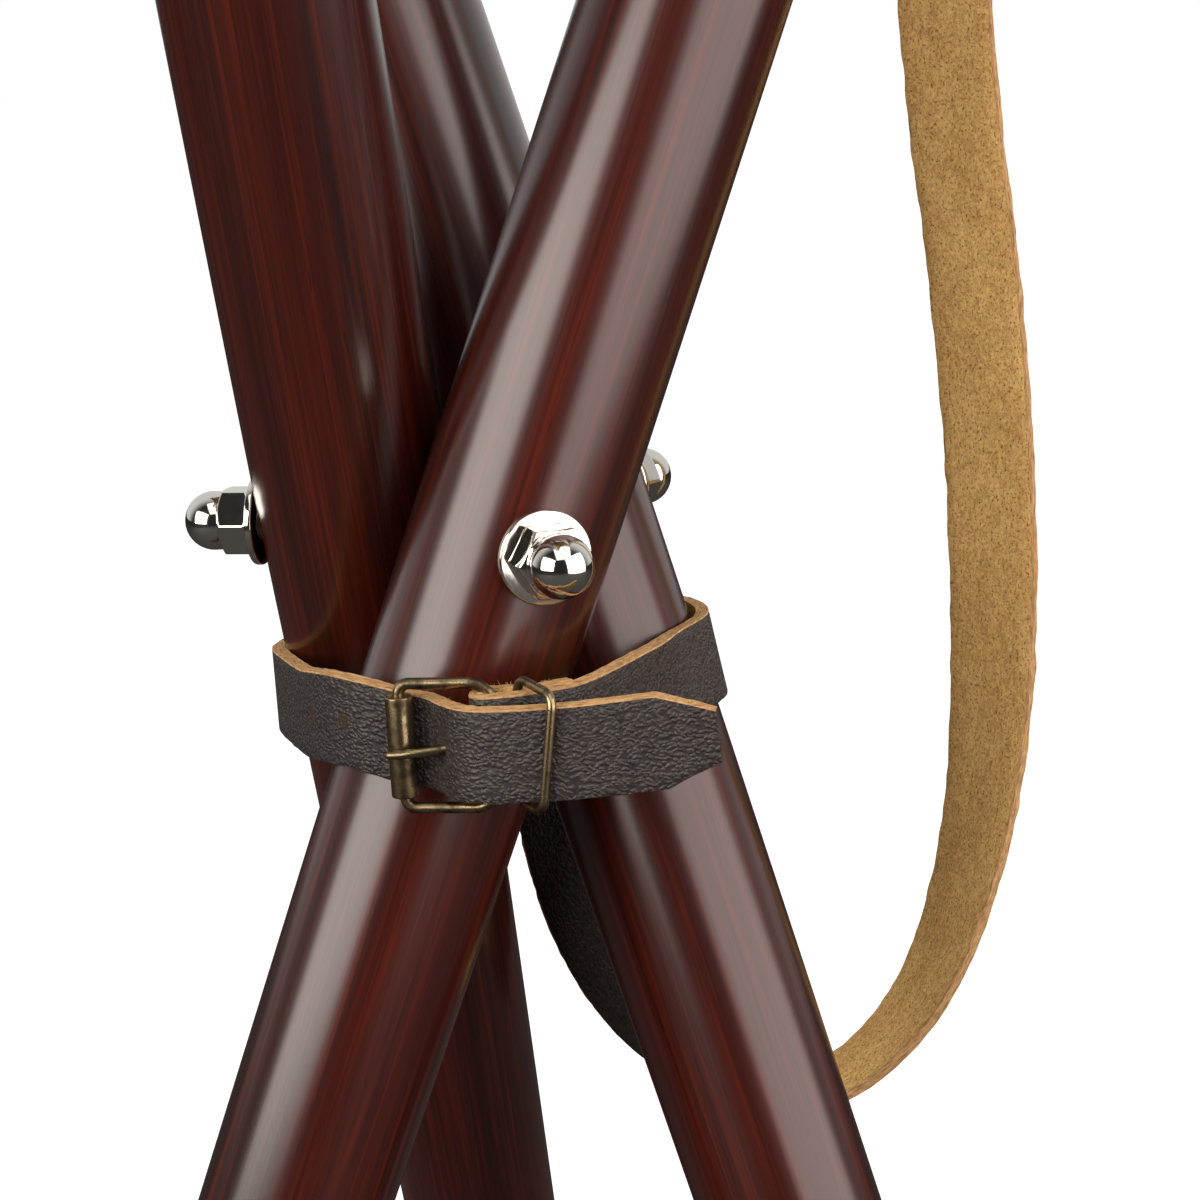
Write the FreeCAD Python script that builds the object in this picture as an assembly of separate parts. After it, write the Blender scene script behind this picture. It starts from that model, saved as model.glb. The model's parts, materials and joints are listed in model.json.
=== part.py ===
"""Folding three-legged stool: crossed legs on a three-way bolt, leather seat, closing strap and carry sling.

Frame: +Z up, floor at z = 0, origin on the stool's axis. Millimetres.
Arm frame of a leg: X along its stud, Y the way its top leans, Z up.
Leg frame: Z along the leg, pivot at the origin.
"""
import FreeCAD, Part
import os
from math import acos, atan2, cos, degrees, pi, radians, sin, sqrt, tan

Vec = FreeCAD.Vector

# Tripod
tilt_deg = 21.7
leg_below = 410.0
leg_above = 370.0
leg_radius = 20.0
folded_leg_gap = 1.57
foot_radius = 15.4
top_radius = 18.8
leg_swell = 0.25
seam_turn_deg = 90.0
pivot_land = 12.0
top_edge_radius = 3.0
stud_azimuths = {"a": -60.0, "b": 180.0, "c": 60.0}

# Pivot hardware
stud_radius = 4.0
pivot_play = 0.05
washer_gap = 0.2
washer_radius = 9.2
washer_hole_play = 0.2
washer_thickness = 1.6
nut_across_flats = 13.0
nut_hex_height = 6.5
nut_chamfer_deg = 30.0
nut_height = 15.0
nut_dome_radius = 6.25
nut_thread_depth = 11.0
stud_end_gap = 0.5
thread_play = 0.05

# Leather seat
leather = 3.5
seat_fold_line = 45.0
seat_sag = 34.0
seat_bend_radius = 9.0
corner_half_width = 31.0
corner_overhang = 5.0
corner_round = 14.0
crease_gap = 0.3
pocket_depth = 46.0
pocket_wall = 2.6
pocket_end = 3.0
seat_play = 0.3

# Rivets
rivet_head_radius = 4.5
rivet_head_height = 2.2
rivet_shank_radius = 1.8
rivet_tail_height = 0.2
pocket_rivet_depths = (14.0, 32.0)

# Closing strap, in a frame of its own: X to the tail's tip, Z across the strap
strap_width = 18.0
strap_thickness = 2.8
strap_drop = 32.2
strap_lean_deg = 1.0
strap_play = 0.45
layer_gap = 0.3
fold_flat = 0.01
roller_x = -2.9
heel_bar_x = 15.4
keeper_x = 26.9
tail_tip_x = 58.0
fold_return_x = 36.0
tail_clip_length = 10.6
tail_clip_depth = 4.4
tail_climb_deg = 61.56
tail_bend_radius = 4.5
spare_hole_radius = 1.7
spare_hole_pitch = 12.0
spare_hole_count = 2
first_spare_hole = 15.0

# Roller buckle and keeper
buckle_wire_radius = 1.1
buckle_corner_radius = 2.2
buckle_side_gap = 1.9
roller_radius = 2.6
roller_play = 0.08
roller_end_gap = 0.4
prong_radius = 1.2
prong_play = 0.5
prong_eye_wall = 1.1
prong_eye_height = 3.2
prong_eye_play = 0.1
prong_overhang = 1.5
prong_rest_gap = 0.5
keeper_wire_radius = 0.9
keeper_corner_radius = 2.5
keeper_slack = 1.0

# Carry sling: a flat strap that hangs in one upright plane behind the legs
sling_width = 20.0
sling_thickness = 2.5
sling_depth = 47.0
sling_plane_deg = 10.5
sling_arc_share = 0.45
sling_end_gap = 0.4
sling_end_step = 1.0
sling_top_z = 290.0
sling_route = (
    (119.0, sling_top_z),
    (115.0, 240.0),
    (107.5, 188.0),
    (102.5, 135.0),
    (103.5, 84.0),
    (109.5, 36.0),
    (112.5, -12.0),
    (112.0, -57.0),
    (107.0, -93.0),
    (95.0, -124.0),
    (76.0, -144.0),
    (54.0, -149.0),
    (36.5, -139.0),
    (26.0, -119.0),
    (19.5, -95.0),
    (16.0, -71.0),
    (14.0, -52.0),
)

# Worked out from the sizes above
tilt = radians(tilt_deg)
hub_height = leg_below * cos(tilt)
hub_offset = (2.0 * leg_radius + folded_leg_gap) / sqrt(3.0)
leg_face = hub_offset + leg_radius
washer_face = leg_face + washer_gap
nut_face = washer_face + washer_thickness
top_lean = leg_above * sin(tilt)
top_height = hub_height + leg_above * cos(tilt)
seat_height = top_height - seat_sag + leg_radius * sin(tilt)
strap_height = hub_height - strap_drop
big = 4.0 * (leg_below + leg_above)

X_AXIS = Vec(1, 0, 0)
Y_AXIS = Vec(0, 1, 0)
Z_AXIS = Vec(0, 0, 1)
ORIGIN = Vec(0, 0, 0)


def turned(shape, axis, angle_deg, centre=ORIGIN):
    """A copy of the shape, turned about an axis through a point."""
    copy = shape.copy()
    copy.rotate(centre, axis, angle_deg)
    return copy


def moved(shape, offset):
    """A copy of the shape, shifted."""
    copy = shape.copy()
    copy.translate(offset)
    return copy


def to_arm(shape, azimuth):
    """From an arm frame to the stool's frame."""
    return turned(shape, Z_AXIS, azimuth)


def on_leg(shape, azimuth):
    """From a leg frame to the stool's frame."""
    leaned = moved(turned(shape, X_AXIS, -tilt_deg), Vec(hub_offset, 0, hub_height))
    return to_arm(leaned, azimuth)


def leg_radius_at(along):
    """Leg radius at a distance along the leg from the pivot, without the swell."""
    if along < 0:
        return leg_radius + (leg_radius - foot_radius) * along / leg_below
    return leg_radius - (leg_radius - top_radius) * along / leg_above


def solid_of(edges, direction):
    """Extrudes a closed outline of edges."""
    return Part.Face(Part.Wire(edges)).extrude(direction)


def polygon(points, direction):
    """Extrudes a closed polygon."""
    closed = list(points) + [points[0]]
    return Part.Face(Part.makePolygon(closed)).extrude(direction)


def rounded_run(points, radii):
    """Straight runs joined by tangent arcs: a list of (start, end, centre or None) in the XY plane."""
    pieces = []
    last = points[0]
    for before, corner, after, radius in zip(points, points[1:], points[2:], radii):
        into = (corner - before).normalize()
        out = (after - corner).normalize()
        turn = acos(max(-1.0, min(1.0, into.dot(out))))
        reach = radius * tan(turn / 2.0)
        first = corner - into * reach
        second = corner + out * reach
        middle = (out - into).normalize()
        centre = corner + middle * (radius / cos(turn / 2.0))
        pieces.append((last, first, None))
        pieces.append((first, second, centre))
        last = second
    pieces.append((last, points[-1], None))
    return pieces


def run_edge(start, end, centre):
    """One edge of a run: a line, or the shorter arc about its centre."""
    if centre is None:
        return Part.LineSegment(start, end).toShape()
    radius = (start - centre).Length
    middle = centre + ((start - centre) + (end - centre)).normalize() * radius
    return Part.Arc(start, middle, end).toShape()


def run_length(pieces):
    """Length of a run."""
    return sum(run_edge(*piece).Length for piece in pieces)


def offset_pieces(pieces, distance):
    """The run moved sideways, to the left of its heading for a positive distance."""
    shifted = []
    side = None
    for start, end, centre in pieces:
        if centre is None:
            heading = (end - start).normalize()
            side = Vec(-heading.y, heading.x, 0) * distance
            shifted.append((start + side, end + side, None))
            continue
        radius = (start - centre).Length
        inward = (start - centre).dot(side) / (radius * abs(distance))
        scale = (radius + inward * abs(distance)) / radius
        shifted.append((centre + (start - centre) * scale, centre + (end - centre) * scale, centre))
    return shifted


def band(pieces, thickness, height):
    """A flat strap along a run in the XY plane, standing on edge from z = -height / 2 to height / 2."""
    left = offset_pieces(pieces, thickness / 2.0)
    right = offset_pieces(pieces, -thickness / 2.0)
    edges = [run_edge(*piece) for piece in left]
    edges.append(Part.LineSegment(left[-1][1], right[-1][1]).toShape())
    edges.extend(run_edge(*piece) for piece in reversed(right))
    edges.append(Part.LineSegment(right[0][0], left[0][0]).toShape())
    face = Part.Face(Part.Wire(Part.__sortEdges__(edges)))
    return moved(face.extrude(Vec(0, 0, height)), Vec(0, 0, -height / 2.0))


def wire_loop(points, radius, corner_radius):
    """A closed wire ring along a flat polygon with rounded corners."""
    count = len(points)
    start = (points[0] + points[1]) * 0.5
    corners = [points[(i + 1) % count] for i in range(count)]
    route = [start] + corners + [start]
    pieces = rounded_run(route, [corner_radius] * count)
    path = Part.Wire([run_edge(*piece) for piece in pieces])
    heading = (points[1] - points[0]).normalize()
    section = Part.Wire(Part.makeCircle(radius, start, heading))
    return path.makePipeShell([section], True, True)


def make_leg(azimuth):
    """Turned leg, thickest on a short land at the pivot, sawn level at the floor, bored through the land."""
    tail = leg_below + foot_radius
    low_radius = leg_radius_at(-tail)
    lower = Part.Arc(
        Vec(low_radius, 0, -tail),
        Vec((low_radius + leg_radius) / 2.0 + leg_swell, 0, -(tail + pivot_land) / 2.0),
        Vec(leg_radius, 0, -pivot_land),
    ).toShape()
    land = Part.LineSegment(Vec(leg_radius, 0, -pivot_land), Vec(leg_radius, 0, pivot_land)).toShape()
    shoulder = leg_above - top_edge_radius
    upper = Part.Arc(
        Vec(leg_radius, 0, pivot_land),
        Vec((leg_radius + top_radius) / 2.0 + leg_swell, 0, (pivot_land + shoulder) / 2.0),
        Vec(top_radius, 0, shoulder),
    ).toShape()
    eased = top_edge_radius * (1.0 - sqrt(0.5))
    edge = Part.Arc(
        Vec(top_radius, 0, shoulder),
        Vec(top_radius - eased, 0, leg_above - eased),
        Vec(top_radius - top_edge_radius, 0, leg_above),
    ).toShape()
    closing = Part.makePolygon(
        [
            Vec(top_radius - top_edge_radius, 0, leg_above),
            Vec(0, 0, leg_above),
            Vec(0, 0, -tail),
            Vec(low_radius, 0, -tail),
        ]
    ).Edges
    profile = Part.Face(Part.Wire([lower, land, upper, edge] + closing))
    turned_leg = turned(profile.revolve(ORIGIN, Z_AXIS, 360), Z_AXIS, seam_turn_deg)
    across = 4.0 * leg_radius
    bore = Part.makeCylinder(stud_radius + pivot_play, across, Vec(-across / 2.0, 0, 0), X_AXIS)
    leg = on_leg(turned_leg.cut(bore), azimuth)
    above_floor = Part.makeBox(big, big, big, Vec(-big / 2.0, -big / 2.0, 0))
    return leg.common(above_floor)


def make_three_way_bolt():
    """Three threaded arms in one level plane, joined at the stool's axis."""
    reach = nut_face + nut_thread_depth - stud_end_gap
    bolt = Part.makeSphere(stud_radius)
    for azimuth in stud_azimuths.values():
        arm = Part.makeCylinder(stud_radius, reach, ORIGIN, X_AXIS)
        bolt = bolt.fuse(to_arm(arm, azimuth))
    return moved(bolt.removeSplitter(), Vec(0, 0, hub_height))


def make_washer(azimuth):
    """Flat washer against the leg's outer side."""
    face = Vec(washer_face, 0, hub_height)
    disc = Part.makeCylinder(washer_radius, washer_thickness, face, X_AXIS)
    hole = Part.makeCylinder(stud_radius + washer_hole_play, washer_thickness, face, X_AXIS)
    return to_arm(disc.cut(hole), azimuth)


def make_cap_nut(azimuth):
    """Domed cap nut: chamfered hexagon, short neck and round dome over a blind thread."""
    hex_radius = nut_across_flats / 2.0 / cos(pi / 6.0)
    corners = [
        Vec(0, hex_radius * cos(i * pi / 3.0), hex_radius * sin(i * pi / 3.0))
        for i in range(6)
    ]
    hexagon = polygon(corners, Vec(nut_hex_height, 0, 0))
    chamfer = tan(radians(nut_chamfer_deg)) * (hex_radius - nut_across_flats / 2.0)
    barrel = Part.makePolygon(
        [
            Vec(0, 0, 0),
            Vec(0, nut_across_flats / 2.0, 0),
            Vec(chamfer, hex_radius, 0),
            Vec(nut_hex_height - chamfer, hex_radius, 0),
            Vec(nut_hex_height, nut_across_flats / 2.0, 0),
            Vec(nut_hex_height, 0, 0),
            Vec(0, 0, 0),
        ]
    )
    hexagon = hexagon.common(Part.Face(barrel).revolve(ORIGIN, X_AXIS, 360))
    neck_end = nut_height - nut_dome_radius
    neck = Part.makeCylinder(nut_dome_radius, neck_end, ORIGIN, X_AXIS)
    dome = Part.makeSphere(nut_dome_radius, Vec(neck_end, 0, 0))
    thread = Part.makeCylinder(stud_radius + thread_play, nut_thread_depth, ORIGIN, X_AXIS)
    nut = hexagon.fuse(neck).fuse(dome).removeSplitter().cut(thread)
    return to_arm(moved(nut, Vec(nut_face, 0, hub_height)), azimuth)


def pocket_inner_radius():
    """Pocket bore: clears the leg at the pocket's mouth."""
    return leg_radius_at(leg_above - pocket_depth) + leg_swell + seat_play


def rivet_holes(radius):
    """Straight cutters or shanks through the pocket's outer wall, in the leg frame."""
    inner = pocket_inner_radius()
    return [
        Part.makeCylinder(radius, pocket_wall, Vec(0, inner, leg_above - depth), Y_AXIS)
        for depth in pocket_rivet_depths
    ]


def make_pocket(azimuth):
    """Leather cup sewn under a corner of the seat: the leg's top stands in it."""
    inner = pocket_inner_radius()
    outer = inner + pocket_wall
    base = leg_above - pocket_depth
    roof = leg_above + seat_play
    cup = Part.makeCylinder(outer, roof + pocket_end - base, Vec(0, 0, base))
    bore = Part.makeCylinder(inner, roof - base, Vec(0, 0, base))
    wide = 2.0 * outer
    ring_below = Part.makeBox(wide, wide, roof - base, Vec(-outer, -outer, base))
    holes = [
        hole.fuse(Part.makeCylinder(rivet_shank_radius, outer, Vec(0, 0, hole.CenterOfMass.z), Y_AXIS))
        for hole in rivet_holes(rivet_shank_radius)
    ]
    cup = cup.cut(bore)
    for hole in holes:
        cup = cup.cut(hole.common(ring_below))
    return on_leg(cup, azimuth)


def make_pocket_rivets(azimuth):
    """Two round-headed rivets that close the pocket's outer wall."""
    outer = pocket_inner_radius() + pocket_wall
    rivets = []
    ball = (rivet_head_radius ** 2 + rivet_head_height ** 2) / (2.0 * rivet_head_height)
    for depth in pocket_rivet_depths:
        height = leg_above - depth
        cap_centre = Vec(0, outer + rivet_head_height - ball, height)
        seat_ring = Part.makeCylinder(rivet_head_radius, rivet_head_height, Vec(0, outer, height), Y_AXIS)
        head = Part.makeSphere(ball, cap_centre).common(seat_ring)
        under = sqrt(outer ** 2 - rivet_shank_radius ** 2) - rivet_tail_height
        shank = Part.makeCylinder(rivet_shank_radius, outer - under, Vec(0, under, height), Y_AXIS)
        rivets.append(head.fuse(shank).removeSplitter())
    return on_leg(Part.makeCompound(rivets), azimuth)


def corner_end_line():
    """Where a corner lies on its pocket: (y, z) of its underside above the leg's centre, and its slope."""
    lift = seat_play + pocket_end + seat_play
    middle = Vec(top_lean + lift * sin(tilt), top_height + lift * cos(tilt), 0)
    outward = Vec(cos(tilt), -sin(tilt), 0)
    return middle, outward


def corner_outline():
    """Plan of one corner of the seat, from the crease to its rounded tip, as a tall cutter."""
    outer = pocket_inner_radius() + pocket_wall
    tip = top_lean + outer * cos(tilt) + corner_overhang
    low = seat_fold_line + crease_gap / 2.0
    half_crease = seat_fold_line * tan(pi / 3.0)
    left = hub_offset - corner_half_width
    right = hub_offset + corner_half_width
    points = [
        Vec(half_crease, low, 0),
        Vec(right, tip, 0),
        Vec(left, tip, 0),
        Vec(-half_crease, low, 0),
    ]
    pieces = rounded_run(points, [corner_round, corner_round])
    edges = [run_edge(*piece) for piece in pieces]
    edges.append(Part.LineSegment(points[-1], points[0]).toShape())
    return solid_of(edges, Vec(0, 0, big))


def make_seat_corner(azimuth):
    """Corner of the seat: rises from the crease, bends over the leg's inner edge and lies on the pocket."""
    middle, outward = corner_end_line()
    outer = pocket_inner_radius() + pocket_wall
    normal = Vec(-outward.y, outward.x, 0) * (leather / 2.0)
    bend = middle - outward * (outer + seat_bend_radius / 2.0) + normal
    end = middle + outward * (2.0 * outer) + normal
    start = Vec(seat_fold_line, seat_height - leather / 2.0, 0)
    heading = (bend - start).normalize()
    pieces = rounded_run([start - heading * leather, bend, end], [seat_bend_radius])
    sheet = band(pieces, leather, big)
    upright = turned(turned(sheet, X_AXIS, 90.0), Z_AXIS, 90.0)
    corner = upright.common(corner_outline())
    return to_arm(corner, azimuth)


def make_seat_centre():
    """Middle of the seat, between the three creases."""
    reach = 2.0 * (seat_fold_line - crease_gap / 2.0)
    first = Vec(reach * cos(pi / 6.0), reach * sin(pi / 6.0), seat_height - leather)
    corners = [
        FreeCAD.Rotation(Z_AXIS, azimuth).multVec(first)
        for azimuth in stud_azimuths.values()
    ]
    return polygon(corners, Vec(0, 0, leather))


def strap_centres():
    """Places that the strap rounds, two to each leg: the leg's section over the strap's width."""
    spread = strap_width / 2.0 * tan(tilt) + leg_radius * (1.0 / cos(tilt) - 1.0)
    places = {}
    for name, azimuth in stud_azimuths.items():
        turn = radians(azimuth)
        side = Vec(-sin(turn), cos(turn), 0)
        level = Vec(hub_offset * cos(turn), hub_offset * sin(turn), 0)
        drop = strap_drop - tan(radians(strap_lean_deg)) * level.x
        centre = level - side * (drop * tan(tilt))
        places[name] = (centre - side * spread, centre + side * spread)
    return places


def strap_corners():
    """Hull corners that the strap's bends are centred on, from the heel bar round to the front again."""
    places = strap_centres()
    front = min(place.y for place in places["a"])
    near_left = min(place.x for place in places["a"])
    a_last = Vec(heel_bar_x, front, 0)
    a_first = Vec(near_left, front, 0)
    c_low, c_high = sorted(places["c"], key=lambda place: place.y)
    b_low, b_high = sorted(places["b"], key=lambda place: place.y)
    return [a_last, c_low, c_high, b_high, b_low, a_first]


def strap_bend_radius():
    """Centre line radius of the strap round a leg."""
    return leg_radius + strap_play + strap_thickness / 2.0


def strap_levels():
    """Y of the layers at the buckle: the strap on the legs, the buckle's bars, the folded end, the tail."""
    front = strap_corners()[0].y - strap_bend_radius()
    bars = front - strap_thickness / 2.0 - layer_gap - roller_radius
    folded = 2.0 * bars - front
    tail = folded - strap_thickness - layer_gap
    return front, bars, folded, tail


def strap_run():
    """The strap's centre line: folded end, heel bar, round the legs, under the roller and out as the tail."""
    front, bars, folded, tail = strap_levels()
    radius = strap_bend_radius()
    hull = strap_corners()
    outer = []
    for before, corner, after in zip(hull[-1:] + hull[:-1], hull, hull[1:] + hull[:1]):
        into = (corner - before).normalize()
        out = (after - corner).normalize()
        normal_in = Vec(into.y, -into.x, 0)
        normal_out = Vec(out.y, -out.x, 0)
        bisector = (normal_in + normal_out).normalize()
        outer.append(corner + bisector * (radius / bisector.dot(normal_in)))
    fold_radius = (front - folded) / 2.0
    fold_x = heel_bar_x - fold_radius
    climb_end = fold_x - strap_thickness / 2.0 - layer_gap
    climb_start = climb_end - (front - tail) / tan(radians(tail_climb_deg))
    points = [Vec(fold_return_x, folded, 0), Vec(fold_x, folded, 0), Vec(fold_x, front, 0)]
    points += outer
    points += [Vec(climb_start, front, 0), Vec(climb_end, tail, 0), Vec(tail_tip_x, tail, 0)]
    radii = [fold_radius - fold_flat] * 2 + [radius] * len(outer) + [tail_bend_radius] * 2
    return rounded_run(points, radii)


def to_strap(shape):
    """From the strap's frame to the stool's frame: it hangs lower on one side."""
    return moved(turned(shape, Y_AXIS, -strap_lean_deg), Vec(0, 0, strap_height))


def prong_ends():
    """Prong's centre line: from its eye on the heel bar to its tip on the roller."""
    bars = strap_levels()[1]
    root = Vec(heel_bar_x, bars, 0)
    rest = Vec(roller_x - prong_overhang, bars - roller_radius - prong_radius - prong_rest_gap, 0)
    return root, rest


def prong_eye_radius():
    """Outer radius of the prong's eye on the heel bar."""
    return buckle_wire_radius + prong_eye_play + prong_eye_wall


def prong_body(extra):
    """Prong and its eye, grown by a margin."""
    root, rest = prong_ends()
    length = (rest - root).Length
    pin = Part.makeCylinder(prong_radius + extra, length, root, rest - root)
    pin = pin.fuse(Part.makeSphere(prong_radius + extra, rest))
    eye_radius = prong_eye_radius() + extra
    height = prong_eye_height + 2.0 * extra
    eye = Part.makeCylinder(eye_radius, height, root - Z_AXIS * (height / 2.0))
    return pin.fuse(eye).removeSplitter()


def make_prong():
    """Prong: its eye turns on the heel bar and its tip lies on the roller."""
    root, _ = prong_ends()
    bore = buckle_wire_radius + prong_eye_play
    bar = Part.makeCylinder(bore, strap_width, root - Z_AXIS * (strap_width / 2.0))
    return to_strap(prong_body(0.0).cut(bar))


def make_closing_strap():
    """Closing strap: one leather band with a folded end, a clipped tail, the prong's hole and spare holes."""
    pieces = strap_run()
    strap = band(pieces, strap_thickness, strap_width).cut(prong_body(prong_play))
    tail = strap_levels()[3]
    half = strap_width / 2.0
    for side in (-1.0, 1.0):
        clip = [
            Vec(tail_tip_x - tail_clip_length, tail - strap_thickness, side * half),
            Vec(tail_tip_x, tail - strap_thickness, side * half),
            Vec(tail_tip_x, tail - strap_thickness, side * (half - tail_clip_depth)),
        ]
        strap = strap.cut(polygon(clip, Vec(0, 2.0 * strap_thickness, 0)))
    hull = strap_corners()
    run_start, run_end = hull[-2], hull[-1]
    heading = (run_end - run_start).normalize()
    outward = Vec(heading.y, -heading.x, 0)
    face = strap_bend_radius() - strap_thickness
    for index in range(spare_hole_count):
        along = first_spare_hole + index * spare_hole_pitch
        place = run_end - heading * along + outward * face
        strap = strap.cut(Part.makeCylinder(spare_hole_radius, 2.0 * strap_thickness, place, outward))
    return to_strap(strap)


def make_buckle_frame():
    """Bent wire frame; the roller turns on one side and the strap is folded round the other."""
    bars = strap_levels()[1]
    half = strap_width / 2.0 + buckle_side_gap + buckle_wire_radius
    points = [
        Vec(roller_x, -half, 0),
        Vec(heel_bar_x, -half, 0),
        Vec(heel_bar_x, half, 0),
        Vec(roller_x, half, 0),
    ]
    ring = wire_loop(points, buckle_wire_radius, buckle_corner_radius)
    return to_strap(moved(turned(ring, X_AXIS, 90.0), Vec(0, bars, 0)))


def make_buckle_roller():
    """Loose tube on the frame's outer bar."""
    bars = strap_levels()[1]
    half = strap_width / 2.0 + buckle_side_gap + buckle_wire_radius - buckle_corner_radius - roller_end_gap
    base = Vec(roller_x, bars, -half)
    tube = Part.makeCylinder(roller_radius, 2.0 * half, base)
    bore = Part.makeCylinder(buckle_wire_radius + roller_play, 2.0 * half, base)
    return to_strap(tube.cut(bore))


def make_strap_keeper():
    """Wire loop round the tail: its back bar is caught in the strap's fold, beside the prong's eye."""
    _, bars, _, tail = strap_levels()
    back = Vec(heel_bar_x + prong_eye_radius() + layer_gap + keeper_wire_radius, bars, 0)
    front = Vec(keeper_x, tail - strap_thickness / 2.0 - layer_gap - keeper_wire_radius, 0)
    depth = (front - back).Length
    half = strap_width / 2.0 + keeper_slack + keeper_wire_radius
    points = [Vec(0, -half, 0), Vec(0, half, 0), Vec(depth, half, 0), Vec(depth, -half, 0)]
    ring = wire_loop(points, keeper_wire_radius, keeper_corner_radius)
    heading = degrees(atan2(front.y - back.y, front.x - back.x))
    upright = turned(turned(ring, X_AXIS, 90.0), Z_AXIS, heading)
    return to_strap(moved(upright, back))


def make_carry_sling():
    """Carry sling: flat strap from a pocket's mouth down behind the legs and up to the closing strap."""
    points = [Vec(right, rise, 0) for right, rise in sling_route]
    points.append(Vec(sling_route[-1][0] - sling_end_step, sling_low_end(), 0))
    radii = []
    for before, corner, after in zip(points, points[1:], points[2:]):
        shorter = min((corner - before).Length, (after - corner).Length)
        turn = (corner - before).getAngle(after - corner)
        radii.append(sling_arc_share * shorter / tan(turn / 2.0))
    pieces = rounded_run(points, radii)
    length = run_length(pieces)
    strap = band(pieces, sling_thickness, sling_width)
    share = strap.Volume / (length * sling_thickness * sling_width)
    print("carry sling length", round(length, 1), "radii", [round(radius) for radius in radii])
    print("carry sling volume over section times length", round(share, 4))
    upright = moved(turned(strap, X_AXIS, 90.0), Vec(0, sling_depth, hub_height))
    return turned(upright, Z_AXIS, sling_plane_deg)


def sling_low_end():
    """Height of the sling's lower end, just under the closing strap, from the hub."""
    lean = radians(strap_lean_deg)
    plane = radians(sling_plane_deg)
    sideways = sling_route[-1][0] * cos(plane) - sling_depth * sin(plane)
    return sideways * tan(lean) - strap_drop - strap_width / 2.0 / cos(lean) - sling_end_gap


def build():
    """All sub-parts by node name."""
    nodes = {"three_way_bolt": make_three_way_bolt()}
    for name, azimuth in stud_azimuths.items():
        nodes["leg_" + name] = make_leg(azimuth)
        nodes["washer_" + name] = make_washer(azimuth)
        nodes["cap_nut_" + name] = make_cap_nut(azimuth)
        nodes["seat_pocket_" + name] = make_pocket(azimuth)
        nodes["pocket_rivets_" + name] = make_pocket_rivets(azimuth)
        nodes["seat_corner_" + name] = make_seat_corner(azimuth)
    nodes["seat_centre"] = make_seat_centre()
    nodes["closing_strap"] = make_closing_strap()
    nodes["buckle_frame"] = make_buckle_frame()
    nodes["buckle_roller"] = make_buckle_roller()
    nodes["buckle_prong"] = make_prong()
    nodes["strap_keeper"] = make_strap_keeper()
    nodes["carry_sling"] = make_carry_sling()
    return nodes


os.makedirs("parts", exist_ok=True)
for node, shape in build().items():
    print(node, shape.isValid(), len(shape.Solids), round(shape.Volume, 1))
    shape.exportStep("parts/" + node + ".step")
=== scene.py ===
import json
from math import cos, pi, radians, sin

import bmesh
import bpy
import numpy as np
from bpy.props import FloatProperty, FloatVectorProperty, PointerProperty
from mathutils import Matrix, Vector


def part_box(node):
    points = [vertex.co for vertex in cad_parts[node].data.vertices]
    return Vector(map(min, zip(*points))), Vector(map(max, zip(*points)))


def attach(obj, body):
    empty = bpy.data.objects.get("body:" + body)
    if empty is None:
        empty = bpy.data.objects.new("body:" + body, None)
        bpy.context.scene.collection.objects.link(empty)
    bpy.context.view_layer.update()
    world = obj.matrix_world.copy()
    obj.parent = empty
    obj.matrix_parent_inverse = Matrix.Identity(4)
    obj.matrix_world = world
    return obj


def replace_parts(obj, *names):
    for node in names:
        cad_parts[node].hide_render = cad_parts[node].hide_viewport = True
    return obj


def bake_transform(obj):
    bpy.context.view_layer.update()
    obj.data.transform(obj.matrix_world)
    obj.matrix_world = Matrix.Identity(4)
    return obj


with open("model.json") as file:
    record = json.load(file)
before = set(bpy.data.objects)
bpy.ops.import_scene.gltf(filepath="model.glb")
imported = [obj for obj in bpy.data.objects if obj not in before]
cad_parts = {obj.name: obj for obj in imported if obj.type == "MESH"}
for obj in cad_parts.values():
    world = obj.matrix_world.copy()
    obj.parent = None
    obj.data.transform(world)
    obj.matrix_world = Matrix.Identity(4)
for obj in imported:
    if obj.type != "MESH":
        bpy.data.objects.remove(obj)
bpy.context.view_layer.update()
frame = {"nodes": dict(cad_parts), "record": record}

bl_info = {
    "name": "Folding tripod stool",
    "version": (1, 0, 0),
    "blender": (4, 5, 0),
    "location": "View3D > Sidebar > Stool",
    "description": "Wood, leather and metal of a folding three-legged stool",
    "category": "Object",
}

# What the frame says: metres, +Z up, floor at z = 0
RECORD = frame["record"]
JOINTS = {joint["name"]: joint for joint in RECORD["behaviour"]["joints"]}
MOUNTS = {mount["name"]: mount for mount in RECORD["mounts"]}
LEGS = ("a", "b", "c")
UP = np.array((0.0, 0.0, 1.0))
HUB = np.array(JOINTS["leg_a_fold"]["pos_m"], float)
TILT = radians(JOINTS["leg_a_fold"]["range_deg"][1])
STUD = {name: np.array(JOINTS[f"leg_{name}_fold"]["axis"], float) for name in LEGS}
LEAN = {name: np.cross(UP, STUD[name]) for name in LEGS}
HUB_OFFSET = float(np.array(MOUNTS["foot_a"]["pos_m"]) @ STUD["a"])
MM = 0.001


def size(name, text, default):
    """A length in metres that a user may change."""
    return FloatProperty(name=name, description=text, default=default, unit="LENGTH", precision=4)


def colour(name, text, default):
    """A linear colour that a user may change."""
    return FloatVectorProperty(
        name=name, description=text, default=default, subtype="COLOR", size=3, min=0.0, max=1.0
    )


def turn_angle(name, text, degrees_default):
    """An angle that a user may change; its default is given in degrees."""
    return FloatProperty(name=name, description=text, default=radians(degrees_default), subtype="ANGLE")


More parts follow.
